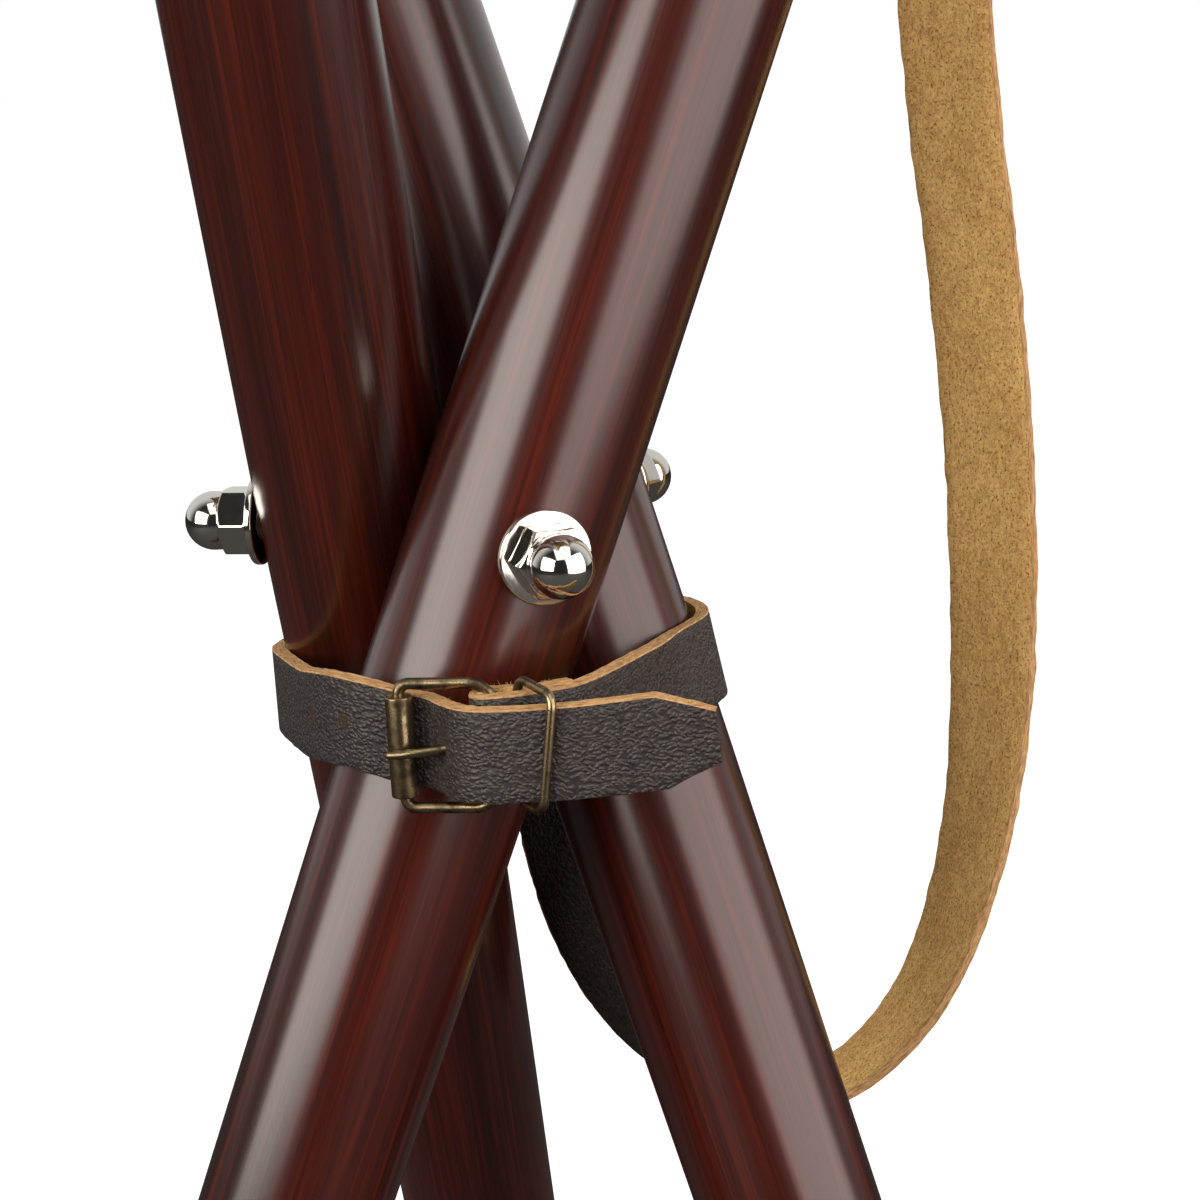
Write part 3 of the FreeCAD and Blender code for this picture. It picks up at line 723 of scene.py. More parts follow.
class StoolHardwareSizes(bpy.types.PropertyGroup):
    """Sizes of the pivot hardware and the rivets."""

    across_flats: size("Across flats", "Width of the cap nut's hexagon", 0.0130)
    hex_height: size("Hexagon", "Height of the cap nut's hexagon", 0.0065)
    nut_height: size("Cap nut", "Whole height of the cap nut", 0.0150)
    dome_radius: size("Dome", "Radius of the cap nut's dome", 0.0061)
    washer_radius: size("Washer", "Outer radius of the washer", 0.0092)
    washer_thickness: size("Washer thickness", "Thickness of the washer", 0.0016)
    rivet_radius: size("Rivet", "Radius of a rivet's head", 0.0045)
    rivet_height: size("Rivet height", "Height of a rivet's head", 0.0022)


def cap_nut_arrays(nut, columns=144):
    """Radius over height and turn: a soft minimum of a soft hexagon and two chamfer cones, then a short groove
    and a round dome. The soft hexagon is the distance to six flats summed as a high power."""
    turn = np.linspace(0.0, 2.0 * pi, columns, endpoint=False)
    flats = np.arange(6) * pi / 3.0
    power = 70.0
    lobes = np.maximum(np.cos(turn[:, None] - flats), 0.0) ** power
    hexagon = nut.across_flats / 2.0 / lobes.sum(axis=1) ** (1.0 / power)
    chamfer = np.linspace(0.0, 0.0010, 12)
    wall_end = 0.0012
    wall = np.linspace(wall_end, nut.hex_height - wall_end, 6)
    height = np.concatenate([chamfer, wall, nut.hex_height - chamfer[::-1]])
    rim = nut.across_flats / 2.0 * 0.975
    cone = rim + np.minimum(height, nut.hex_height - height) * np.sqrt(3.0)
    body = (hexagon[None] ** -power + cone[:, None] ** -power) ** (-1.0 / power)
    dome_base = nut.nut_height - nut.dome_radius
    groove = np.column_stack([np.array((0.985, 0.955, 0.985)) * nut.dome_radius,
                              np.array((0.0, 0.0002, 0.0006)) + nut.hex_height])
    cap = np.vstack([groove, quarter_turn(0.0, dome_base, nut.dome_radius, 0.0, 90.0, 22)])
    radius = np.vstack([np.zeros((1, columns)), body, np.repeat(cap[:, :1], columns, axis=1)])
    along = np.concatenate([[0.0], height, cap[:, 1]])[:, None]
    return np.stack(np.broadcast_arrays(radius * np.cos(turn), radius * np.sin(turn), along), axis=-1)


def washer_profile(hardware):
    """Flat ring with rounded rims, as a closed profile from its hole round its outside and back."""
    hole, rim, thick = 0.0043, 0.0004, hardware.washer_thickness
    outer = hardware.washer_radius
    return np.vstack([[(hole, 0.0)], quarter_turn(outer - rim, rim, rim, -90.0, 0.0),
                      quarter_turn(outer - rim, thick - rim, rim, 0.0, 90.0), [(hole, thick)], [(hole, 0.0)]])


def rivet_profile(hardware):
    """A low dome on a flat base: radius and height follow a quarter of an ellipse."""
    angle = np.linspace(0.0, pi / 2.0, 10)
    dome = np.column_stack([hardware.rivet_radius * np.cos(angle), hardware.rivet_height * np.sin(angle)])
    sunk = -0.0004
    return np.vstack([[(0.0, sunk), (hardware.rivet_radius, sunk)], dome])


class STOOL_OT_fit_hardware(bpy.types.Operator):
    """Fits the domed cap nuts and washers on the three-way bolt"""

    bl_idname = "stool.fit_hardware"
    bl_label = "Fit pivot hardware"

    def execute(self, context):
        hardware = context.scene.stool_hardware
        nickel = nickel_finish()
        nut_face = -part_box("cap_nut_b")[1].x
        washer_face = -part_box("washer_b")[1].x
        for name in LEGS:
            stud = STUD[name]
            nut = set_on(cap_nut_arrays(hardware), HUB + stud * nut_face, UP, stud)
            washer = set_on(lathe(washer_profile(hardware)), HUB + stud * washer_face, UP, stud)
            for label, points in ((f"cap_nut_{name}", nut), (f"washer_{name}", washer)):
                piece = make_piece(f"bright_{label}", points, [nickel])
                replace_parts(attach(piece, "hub"), label)
        frame["nodes"]["three_way_bolt"].data.materials.clear()
        frame["nodes"]["three_way_bolt"].data.materials.append(thread_finish())
        return {"FINISHED"}


# The closing strap's own frame: X to the tail's tip, Y away from the camera, Z across the strap
STRAP_Z = np.array(JOINTS["roller_spin"]["axis"], float)
STRAP_Y = np.array((0.0, 1.0, 0.0))
STRAP_X = np.cross(STRAP_Y, STRAP_Z)
ROLLER = np.array(JOINTS["roller_spin"]["pos_m"], float)
HEEL = np.array(JOINTS["prong_lift"]["pos_m"], float)
STRAP_MIDDLE = UP * (ROLLER[2] - ROLLER[0] * STRAP_X[2] / STRAP_X[0])

# Centre line of the closing strap in that frame, in millimetres: folded end, heel bar, round the legs,
# under the roller, tail
STRAP_ROUTE = (
    (28.2, -48.7, 2), (25, -51.3, 2), (21, -52.9, 1.9), (16.4, -52.7, 1.7), (12.8, -52.6, 1.6),
    (11.8, -55.9, 1.5), (12.8, -59.1, 1.5), (16.4, -59.5, 1.7), (21.5, -58.2, 1.9), (26.2, -55.3, 2),
    (30.2, -50.7, 1.7), (34, -38, 1.3), (37.8, -21, 0.7), (41.6, -5, 0), (45.5, 9.7, -0.4),
    (45.7, 18.4, -0.6), (42.4, 26.8, -0.7), (35.8, 33.4, -0.6), (26.7, 38.8, -0.2), (16, 43.4, 0.3),
    (4, 45.4, 0.6), (-8, 45.6, 0), (-19, 43.6, -1.2), (-28, 38.8, -2.6), (-35.1, 32.5, -3.9),
    (-41.7, 26.7, -4.7), (-45.5, 18.7, -4.9), (-45.9, 9.8, -4.5), (-43, 1.2, -3.6), (-38.2, -9, -2.5),
    (-32.4, -21, -1.2), (-26.5, -33.2, 0.4), (-20.4, -43.7, 2.9), (-13.2, -49.4, 3.1), (-6.5, -51.5, 1.7),
    (-1.9, -51.9, 0.6), (2.5, -52.7, 0.1), (5.9, -56.3, -0.2), (9.3, -61.1, 0.1), (14.2, -63.3, 0.1),
    (23, -63.6, 0.4), (33, -63.3, 1), (44, -62.9, 2.2), (52, -62.7, 3.1), (58, -62.5, 3.5),
)
# Places in the same frame: spare holes, the keeper's front and back bars, the prong's line
SPARE_HOLES = ((-15.7, -48.5), (-23.6, -38.6))
KEEPER_FRONT = (26.9, -65.8, 0.8)
KEEPER_BACK = (18.6, -55.9, 1.8)
PRONG_ROUTE = (
    (13.7, -56.5, 0.4), (9, -57.7, 0.2), (4.2, -59, -0.1), (0.2, -59.7, -0.4), (-2.9, -59.8, -0.7),
    (-5.7, -59.3, -0.9),
)


def in_strap(points):
    """Points of the strap's frame, in millimetres, as points of the stool's frame."""
    return STRAP_MIDDLE + np.asarray(points, float) * MM @ np.array([STRAP_X, STRAP_Y, STRAP_Z])


class StoolStrapSizes(bpy.types.PropertyGroup):
    """Sizes of the closing strap and its buckle."""

    width: size("Width", "Width of the strap", 0.0178)
    thickness: size("Thickness", "Thickness of the leather", 0.0028)
    bevel: size("Bevel", "Slant of the upper cut edge", 0.0002)
    ease: size("Ease", "Rounding of the cut edges", 0.0003)
    uneven: size("Uneven", "Waver of the cut edges", 0.00005)
    clip_length: size("Clip length", "Length of the clipped corners of the tail", 0.0106)
    clip_depth: size("Clip depth", "Depth of the clipped corners of the tail", 0.0040)
    hole_radius: size("Hole", "Radius of the spare holes", 0.0012)
    fibre: size("Fibre", "Length of the loose fibres on its upper edge", 0.0010)
    fibre_radius: size("Fibre radius", "Radius of a loose fibre at its root", 0.00006)
    fibre_pitch: size("Fibre pitch", "From one loose fibre to the next", 0.0011)
    wire_radius: size("Buckle wire", "Radius of the buckle's wire", 0.0011)
    buckle_half: size("Buckle half height", "From the buckle's middle to its wire", 0.0120)
    heel_corner: size("Heel corner", "Bend radius of the buckle's wire beside the strap's fold", 0.0050)
    roller_corner: size("Roller corner", "Bend radius of the buckle's wire beside the roller", 0.0021)
    roller_radius: size("Roller", "Outer radius of the roller", 0.0026)
    roller_half: size("Roller half length", "Half of the roller's length", 0.0097)
    prong_radius: size("Prong", "Radius of the prong", 0.00105)
    keeper_radius: size("Keeper wire", "Radius of the keeper's wire", 0.0009)
    keeper_room: size("Keeper room", "From the strap's edge to the keeper's wire", 0.0022)
    keeper_corner: size("Keeper corner", "Bend radius of the keeper's wire", 0.0026)
    keeper_turn: FloatProperty(name="Keeper turn", description="Lean of the keeper to the tail", default=0.15)


# Stretches of the strap in turn, with the leg that each follows, and the azimuths between them in degrees
STRAP_STRETCHES = (
    ("folded_end", "a"), ("right_stretch", "c"), ("back_stretch", "c"), ("left_stretch", "b"), ("tail", "a"),
)
STRAP_SPLITS = (-3.4, 30.0, 116.6, 236.6)
# How far the strap leans with a leg that it lies on, and the azimuths where it takes up and leaves that lean
STRAP_LEAN = 0.65
STRAP_ON_LEG = {"c": ((-25.0, 5.0), (70.0, 45.0)), "b": ((102.0, 125.0), (178.0, 148.0))}
# Seeds of the loose fibres of the first stretch: their roots and their bends
ROOT_SEED = 40
BEND_SEED = 60


def azimuths(path):
    """Azimuth of each point of a path about the stool's axis, in degrees and with no jumps."""
    return np.degrees(np.unwrap(np.arctan2(path[:, 1], path[:, 0])))


def strap_splits(path):
    """First points of the strap's five stretches: it leaves leg a, goes round leg c and leg b, and ends at leg
    a again."""
    azimuth = azimuths(path)
    return [0, *(int(np.argmax(azimuth > limit)) for limit in STRAP_SPLITS), len(path) - 1]


def strap_across(path, heading):
    """The way across the strap at each point: upright in its own frame at the buckle, leaning along legs c
    and b where it lies on them, with smooth shares over the azimuth, and square to the path."""
    azimuth = azimuths(path)[:, None]
    across = STRAP_Z
    for leg, (taken_up, left) in STRAP_ON_LEG.items():
        share = STRAP_LEAN * smooth_share(azimuth, *taken_up) * smooth_share(azimuth, *left)
        across = across + (leg_axes(leg)[3] - STRAP_Z) * share
    return unit(across - heading * np.sum(across * heading, axis=1, keepdims=True))


def punch_holes(strap, path, outward):
    """The spare holes left of the buckle: for each, a dished disc in a low ring on the outer face, painted dark
    as the shade inside the hole.
    """
    reach = np.array((0.0, 0.75, 1.0, 1.12, 1.2)) * strap.hole_radius
    lift = (-0.00005, 0.00002, 0.00010, 0.00006, -0.0001)
    profile = np.column_stack([reach, lift])
    discs = []
    for place in SPARE_HOLES:
        spot = int(np.argmin(np.linalg.norm((path - in_strap((*place, 0.0)))[:, :2], axis=1)))
        base = path[spot] + outward[spot] * strap.thickness / 2.0
        discs.append(set_on(lathe(profile, columns=24), base, STRAP_Z, outward[spot]))
    rows, columns = discs[0].shape[:2]
    faces = np.concatenate([grid_quads(rows, columns) + rows * columns * k for k in range(len(discs))])
    return make_piece("closing_strap_holes", np.array(discs), [hole_shade_finish()], faces)


class STOOL_OT_buckle_strap(bpy.types.Operator):
    """Lays the closing strap round the legs in five stretches"""

    bl_idname = "stool.buckle_strap"
    bl_label = "Lay closing strap"

    def execute(self, context):
        strap = context.scene.stool_strap
        look = context.scene.stool_colours
        finishes = leather_finishes(look)
        path = spline_points("strap_route", in_strap(STRAP_ROUTE), resolution=16)
        heading = unit(np.gradient(path, axis=0))
        across = strap_across(path, heading)
        outward = unit(np.cross(heading, across))
        outline, sides = strap_profile(strap.width, strap.thickness, strap.ease, strap.bevel)
        lengths = path_lengths(path)
        past = np.clip(lengths - (lengths[-1] - strap.clip_length), 0.0, None) / strap.clip_length
        narrow = 1.0 - past * strap.clip_depth / (strap.width / 2.0)
        uneven = edge_roughness(len(path), outline, strap.uneven, seed=5)
        uneven = uneven + outline * (narrow[:, None, None] - 1.0) * np.array((1.0, 0.0))
        points, places = strap_arrays(path, across, outward, outline, uneven)
        edge_points = path + across * (strap.width / 2.0 - strap.bevel / 2.0) * narrow[:, None]
        splits = strap_splits(path)
        for number, (label, leg) in enumerate(STRAP_STRETCHES):
            first, last = splits[number], splits[number + 1] + 1
            faces, kinds = strap_faces(last - first, sides, label == "folded_end", label == "tail")
            if label == "tail":
                kinds[-1] = GRAIN_SIDE
            piece = make_piece(f"closing_strap_{label}", points[first:last], finishes, faces,
                               kinds, ("strap_place", places[first:last]))
            drawn = np.random.default_rng(ROOT_SEED + number)
            count = int((lengths[last - 1] - lengths[first]) / strap.fibre_pitch)
            chosen = drawn.integers(first, last, count)
            spread = drawn.uniform(-0.5, 0.5, (count, 1)) * strap.thickness
            roots = edge_points[chosen] + outward[chosen] * spread
            ways = STRAP_Z + outward[chosen] * 0.5 + heading[chosen] * drawn.normal(0.0, 0.8, (count, 1))
            longs = strap.fibre * drawn.uniform(0.25, 1.0, (count, 1)) ** 2
            hairs, hair_faces = fibre_arrays(roots, ways, longs, strap.fibre_radius, BEND_SEED + number)
            fluff = make_piece(f"closing_strap_fibres_{label}", hairs, finishes[1:2],
                               hair_faces, places=("strap_place", hairs))
            parts = [piece, fluff]
            if label == "tail":
                parts.append(punch_holes(strap, path[first:last], outward[first:last]))
            for part in parts:
                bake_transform(part)
            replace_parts(piece, "closing_strap")
        return {"FINISHED"}


def rounded_loop(half_width, half_height, right_corner, left_corner, steps=12):
    """A closed rectangle with round corners, from four quarter circles in turn."""
    quarter = np.linspace(0.0, pi / 2.0, steps)
    signs = ((1.0, 1.0), (-1.0, 1.0), (-1.0, -1.0), (1.0, -1.0))
    corners = (right_corner, left_corner, left_corner, right_corner)
    arcs = []
    for k, ((right, up), corner) in enumerate(zip(signs, corners)):
        turn = quarter + k * pi / 2.0
        centre = (right * (half_width - corner), up * (half_height - corner))
        arcs.append(centre + corner * np.column_stack([np.cos(turn), np.sin(turn)]))
    return np.vstack([*arcs, arcs[0][:1]])


def wire_arrays(path, flat_normal, radius, closed, sides=20):
    """A round wire along a path in a plane: each ring is path + radius * (side cos + normal sin). An open
    wire has its radius given at each point, so its ends can be rounded."""
    heading = np.gradient(path, axis=0)
    if closed:
        heading[0] = heading[-1] = path[1] - path[-2]
    heading = unit(heading)
    side = unit(np.cross(heading, flat_normal))
    turn = np.linspace(0.0, 2.0 * pi, sides, endpoint=False)
    ring = side[:, None] * np.cos(turn)[None, :, None] + np.asarray(flat_normal) * np.sin(turn)[None, :, None]
    return path[:, None] + ring * np.reshape(np.broadcast_to(radius, len(path)), (-1, 1, 1))


class STOOL_OT_bend_buckle(bpy.types.Operator):
    """Bends the buckle's frame, its roller and prong, and the keeper loop from wire"""

    bl_idname = "stool.bend_buckle"
    bl_label = "Bend buckle"

    def execute(self, context):
        strap = context.scene.stool_strap
        brass = brass_finish(context.scene.stool_colours)

        def add(name, points, body, node):
            piece = make_piece(name, points, [brass], sharp=50.0)
            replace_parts(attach(piece, body), node)

        middle = (ROLLER + HEEL) / 2.0
        half = np.linalg.norm(HEEL - ROLLER) / 2.0
        loop = rounded_loop(half, strap.buckle_half, strap.heel_corner, strap.roller_corner)
        path = middle + loop @ np.array([STRAP_X, STRAP_Z])
        add("buckle_wire_frame", wire_arrays(path, STRAP_Y, strap.wire_radius, True), "leg_a", "buckle_frame")

        half, rim, play = strap.roller_half, 0.0003, 0.0001
        bore, wall = strap.wire_radius + play, strap.roller_radius - rim
        low_rim = quarter_turn(wall, rim - half, rim, -90.0, 0.0)
        high_rim = quarter_turn(wall, half - rim, rim, 0.0, 90.0)
        tube = np.vstack([[(bore, -half)], low_rim, high_rim, [(bore, half)], [(bore, -half)]])
        tube = set_on(lathe(tube, columns=64), ROLLER, STRAP_X, STRAP_Z)
        add("buckle_roller_tube", tube, "roller", "buckle_roller")

        path = spline_points("prong_route", in_strap(PRONG_ROUTE), resolution=10)
        share = path_lengths(path) / path_lengths(path)[-1]
        slimmer, tip_share = 0.22, 1.0 / 14.0
        tip = np.sqrt(np.clip((1.0 - share) / tip_share, 0.0, 1.0))
        taper = strap.prong_radius * (1.0 - slimmer * share) * tip
        add("buckle_prong_pin", wire_arrays(path, STRAP_Z, taper, False), "prong", "buckle_prong")

        front, back = in_strap(KEEPER_FRONT), in_strap(KEEPER_BACK)
        deep = unit(back - front)
        tall = unit(STRAP_Z + STRAP_X * strap.keeper_turn)
        tall = unit(tall - deep * np.dot(tall, deep))
        half = np.linalg.norm(back - front) / 2.0
        corner = strap.keeper_corner
        loop = rounded_loop(half, strap.width / 2.0 + strap.keeper_room, corner, corner)
        path = (front + back) / 2.0 + loop @ np.array([deep, tall])
        keeper = wire_arrays(path, np.cross(deep, tall), strap.keeper_radius, True)
        add("strap_keeper_loop", keeper, "leg_a", "strap_keeper")
        return {"FINISHED"}


# Edge of a third of the seat, across and outwards from the stool's axis, from joint to joint, in millimetres
SEAT_OUTLINE = (
    (-57.2, 33), (-50.2, 45.1), (-40.5, 70), (-34, 100), (-31.5, 128), (-31, 146), (-29.5, 158),
    (-20, 165.5), (0, 167.5), (20, 165.5), (29.5, 158), (31, 146), (31.5, 128), (34, 100),
    (40.5, 70), (50.2, 45.1), (57.2, 33),
)
# Height of the seat's middle surface over the distance outwards, in millimetres
SEAT_RISE = (
    (0, 696), (30, 696), (48, 698.5), (70, 711), (95, 727.5), (108, 736), (114.5, 738.6),
    (121, 737), (138, 730), (155, 723.3), (172, 716.6),
)

# Rivets of a pocket, from the bolt along the leg
POCKET_RIVETS = (0.338, 0.356)


class StoolSeatSizes(bpy.types.PropertyGroup):
    """Sizes of the leather seat and its pockets."""

    thickness: size("Thickness", "Thickness of the seat's leather", 0.0035)
    corner_reach: size("Corner", "From the stool's axis to a pocket, in the leg's leaning plane", 0.138)
    pocket_inner: size("Pocket inside", "Inner radius of a pocket", 0.0195)
    pocket_outer: size("Pocket outside", "Outer radius of a pocket", 0.0221)
    pocket_mouth: size("Pocket mouth", "From the bolt along the leg to the pocket's mouth", 0.3240)
    pocket_roof: size("Pocket roof", "From the bolt along the leg to the pocket's roof", 0.3733)
    roof_thickness: size("Roof thickness", "Thickness of the pocket's roof", 0.003)
    pocket_shoulder: size("Pocket shoulder", "Rounding of the pocket's upper edge", 0.0035)
    pocket_ring: size("Stitch ring", "Radius of the ring of stitches over a pocket", 0.0155)
    stitch_inset: size("Stitch inset", "From the seat's edge to its row of stitches", 0.0050)
    stitch_pitch: size("Stitch pitch", "From one stitch to the next", 0.0050)
    stitch_length: size("Stitch length", "Length of a stitch", 0.0036)
    thread_radius: size("Thread", "Radius of the thread", 0.0005)


# Sideways slope of the seat over a pocket, and the distances outwards between which it sets in
SEAT_TILT = 0.068
SEAT_TILT_FROM = (0.095, 0.120)
# Droop of the seat's edge over a pocket, by the square of the distance past a half width, and where it starts
SEAT_DROOP = 25.0
SEAT_DROOP_PAST = 0.020
SEAT_DROOP_FROM = (0.085, 0.125)


def seat_height(across, out, profile):
    """Middle surface of the seat: a profile over the distance outwards, a sideways tilt over the leaning
    pocket and an edge that droops with the square of its distance past the pocket."""
    rise = np.interp(out, profile[:, 0], profile[:, 2])
    tilt = SEAT_TILT * across * smooth_share(out, *SEAT_TILT_FROM)
    past = np.clip(np.abs(across) - SEAT_DROOP_PAST, 0.0, None)
    return rise + tilt - SEAT_DROOP * past ** 2 * smooth_share(out, *SEAT_DROOP_FROM)


def seat_arrays(seat, outline, profile, rows=46):
    """A third of the seat: rays from the axis to the edge, on the upper face, over the eased rim and back on
    the lower face. Each point is share * outline in plan, half a thickness off the middle surface's height."""
    half = seat.thickness / 2.0
    face = np.linspace(0.0, 0.994, rows)
    rim = np.array((0.65, 0.25, -0.25, -0.65))
    shares = np.concatenate([face, np.ones(len(rim)), face[::-1]])[:, None]
    lift = half * np.concatenate([np.ones(rows), rim, -np.ones(rows)])
    across, out = shares * outline[:, 0], shares * outline[:, 1]
    height = seat_height(across, out, profile) + lift[:, None]
    points = np.stack([across, out, height], axis=-1)
    total, columns = points.shape[:2]
    faces = grid_quads(total, columns, close_columns=False).tolist()
    counts = np.array((rows - 1, len(rim) + 1, rows - 1)) * (columns - 1)
    kinds = np.repeat((GRAIN_SIDE, CUT_SIDE, FLESH_SIDE), counts).tolist()
    for column in (0, columns - 1):
        for row in range(total // 2 - 1):
            near, far = row, total - 1 - row
            faces.append([r * columns + column for r in (near, near + 1, far - 1, far)])
            kinds.append(CUT_SIDE)
    places = np.stack(np.broadcast_arrays(across, out, lift[:, None]), axis=-1)
    return points, faces, kinds, places


def stitch_arrays(centres, ways, ups, length, radius, sides=6):
    """Stitches: each is a short thread along its way that dives into the leather at both ends by a parabola."""
    along = np.array((-0.5, -0.42, -0.2, 0.2, 0.42, 0.5))
    thick = np.array((0.5, 0.9, 1.0, 1.0, 0.9, 0.5)) * radius
    turn = np.linspace(0.0, 2.0 * pi, sides, endpoint=False)
    ways, ups = unit(ways), unit(ups)
    across = np.cross(ways, ups)
    line = centres[:, None] + ways[:, None] * (along * length)[:, None]
    line = line + ups[:, None] * (radius * (0.35 - 5.0 * along ** 2))[:, None]
    ring = across[:, None] * np.cos(turn)[:, None] + ups[:, None] * np.sin(turn)[:, None]
    points = line[:, :, None] + ring[:, None] * thick[:, None, None]
    shell = grid_quads(len(along), sides)
    step = len(along) * sides
    starts = (np.arange(len(centres)) * step)[:, None]
    faces = (starts[:, :, None] + shell).reshape(-1, 4).tolist()
    faces += (starts + np.arange(sides)).tolist() + (starts + step - 1 - np.arange(sides)).tolist()
    return points, faces


class STOOL_OT_stretch_seat(bpy.types.Operator):
    """Stretches the leather seat in three thirds"""

    bl_idname = "stool.stretch_seat"
    bl_label = "Stretch seat"

    def execute(self, context):
        seat = context.scene.stool_seat
        finishes = leather_finishes(context.scene.stool_colours)
        thread = waxed_thread_finish()
        plan = np.insert(np.array(SEAT_OUTLINE), 2, 0.0, axis=1) * MM
        outline = spline_points("seat_outline", plan, resolution=12)[:, :2]
        rise = np.insert(np.array(SEAT_RISE), 1, 0.0, axis=1) * MM
        profile = spline_points("seat_rise", rise, resolution=24)
        points, faces, kinds, places = seat_arrays(seat, outline, profile)

        steps = np.gradient(outline, axis=0)
        inward = unit(np.column_stack([steps[:, 1], -steps[:, 0]]))
        row = outline + inward * seat.stitch_inset
        travel = path_lengths(row)
        stops = np.arange(seat.stitch_pitch, travel[-1] - seat.stitch_pitch / 2.0, seat.stitch_pitch)
        row = np.column_stack([np.interp(stops, travel, row[:, axis]) for axis in (0, 1)])
        ring_stitches = 19
        turn = np.linspace(0.0, 2.0 * pi, ring_stitches, endpoint=False)
        middle = np.hypot(seat.corner_reach, HUB_OFFSET)
        ring = (0.0, middle) + seat.pocket_ring * np.column_stack([np.cos(turn), np.sin(turn)])
        ways = np.vstack([np.gradient(row, axis=0), np.column_stack([-np.sin(turn), np.cos(turn)])])
        spots = np.vstack([row, ring])

        def raised(spots):
            return np.column_stack([spots, seat_height(*spots.T, profile) + seat.thickness / 2.0])

        small = 0.0005
        east = (raised(spots + (small, 0.0)) - raised(spots - (small, 0.0))) / (2.0 * small)
        north = (raised(spots + (0.0, small)) - raised(spots - (0.0, small))) / (2.0 * small)
        stitches, stitch_faces = stitch_arrays(raised(spots), east * ways[:, :1] + north * ways[:, 1:],
                                               np.cross(east, north), seat.stitch_length, seat.thread_radius)
        for name in LEGS:
            out = unit(STUD[name] * HUB_OFFSET + LEAN[name] * seat.corner_reach)
            axes = np.array([np.cross(out, UP), out, UP])
            third = make_piece(f"seat_third_{name}", points @ axes, finishes, faces, kinds,
                               ("strap_place", places))
            sewing = make_piece(f"seat_stitches_{name}", stitches @ axes, [thread],
                                stitch_faces)
            for piece in (third, sewing):
                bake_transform(piece)
            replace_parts(third, f"seat_corner_{name}", "seat_centre")
        return {"FINISHED"}


class STOOL_OT_sew_pockets(bpy.types.Operator):
    """Sews the three leather pockets over the leg tops and closes them with rivets"""

    bl_idname = "stool.sew_pockets"
    bl_label = "Sew pockets"

    def execute(self, context):
        seat = context.scene.stool_seat
        hardware = context.scene.stool_hardware
        look = context.scene.stool_colours
        finishes = leather_finishes(look)
        thread = waxed_thread_finish()
        brass = brass_finish(look)
        inner, outer, mouth, roof = seat.pocket_inner, seat.pocket_outer, seat.pocket_mouth, seat.pocket_roof
        shoulder, ceiling = roof - seat.pocket_shoulder, roof - seat.roof_thickness
        bend, ease, slant, rings, columns = 0.001, 0.0005, 0.0004, 8, 112
        inside = [(0.0, ceiling), (inner - bend, ceiling), (inner, ceiling - bend), (inner, mouth + ease)]
        lip = [(inner + slant, mouth), (outer - slant, mouth)]
        wall = [(outer, mouth + (shoulder - mouth) * k / rings) for k in range(1, rings)]
        crown = quarter_turn(outer - seat.pocket_shoulder, shoulder, seat.pocket_shoulder, 0.0, 90.0)
        outside = [(outer, mouth + ease), *wall, *crown, (0.0, roof)]
        cup = lathe([*inside, *lip, *outside], columns)
        counts = np.array((len(inside), 1, len(outside))) * columns
        kinds = np.repeat((FLESH_SIDE, CUT_SIDE, GRAIN_SIDE), counts)
        count = int(2.0 * pi * outer / seat.stitch_pitch)
        turn = np.linspace(0.0, 2.0 * pi, count, endpoint=False)
        radial = np.column_stack([np.cos(turn), np.sin(turn), np.zeros(count)])
        around = np.column_stack([-np.sin(turn), np.cos(turn), np.zeros(count)])
        above_mouth, below_shoulder = 0.004, 0.003
        heights = (mouth + above_mouth, shoulder - below_shoulder)
        spots = np.vstack([radial * outer + UP * height for height in heights])
        stitches, stitch_faces = stitch_arrays(spots, np.tile(around, (2, 1)), np.tile(radial, (2, 1)),
                                               seat.stitch_length, seat.thread_radius)
        for name in LEGS:
            centre, stud, across, axis = leg_axes(name)
            axes = np.array([stud, across, axis])
            piece = make_piece(f"pocket_cup_{name}", centre + cup @ axes, finishes,
                               finish_of_face=kinds, places=("strap_place", cup))
            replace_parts(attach(piece, f"leg_{name}"), f"seat_pocket_{name}")
            sewing = make_piece(f"pocket_stitches_{name}", centre + stitches @ axes, [thread],
                                stitch_faces)
            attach(sewing, f"leg_{name}")
            side = centre + across * outer
            dome = lathe(rivet_profile(hardware), columns=48)
            domes = np.array([set_on(dome, side + axis * along, stud, across) for along in POCKET_RIVETS])
            shell = grid_quads(*domes.shape[1:3])
            shells = np.concatenate([shell, shell + domes.shape[1] * domes.shape[2]])
            rivets = make_piece(f"pocket_rivet_heads_{name}", domes, [brass], shells)
            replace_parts(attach(rivets, f"leg_{name}"), f"pocket_rivets_{name}")
        return {"FINISHED"}


def area_lamp(name, place, target, spread, power, tint):
    """A soft rectangular lamp that faces a point."""
    light = bpy.data.lights.new(name, "AREA")
    light.shape = "RECTANGLE"
    light.size, light.size_y = spread
    light.energy = power
    light.color = tint
    lamp = bpy.data.objects.new(name, light)
    lamp.location = place
    lamp.rotation_euler = Vector(target - place).to_track_quat("-Z", "Y").to_euler()
    bpy.context.scene.collection.objects.link(lamp)


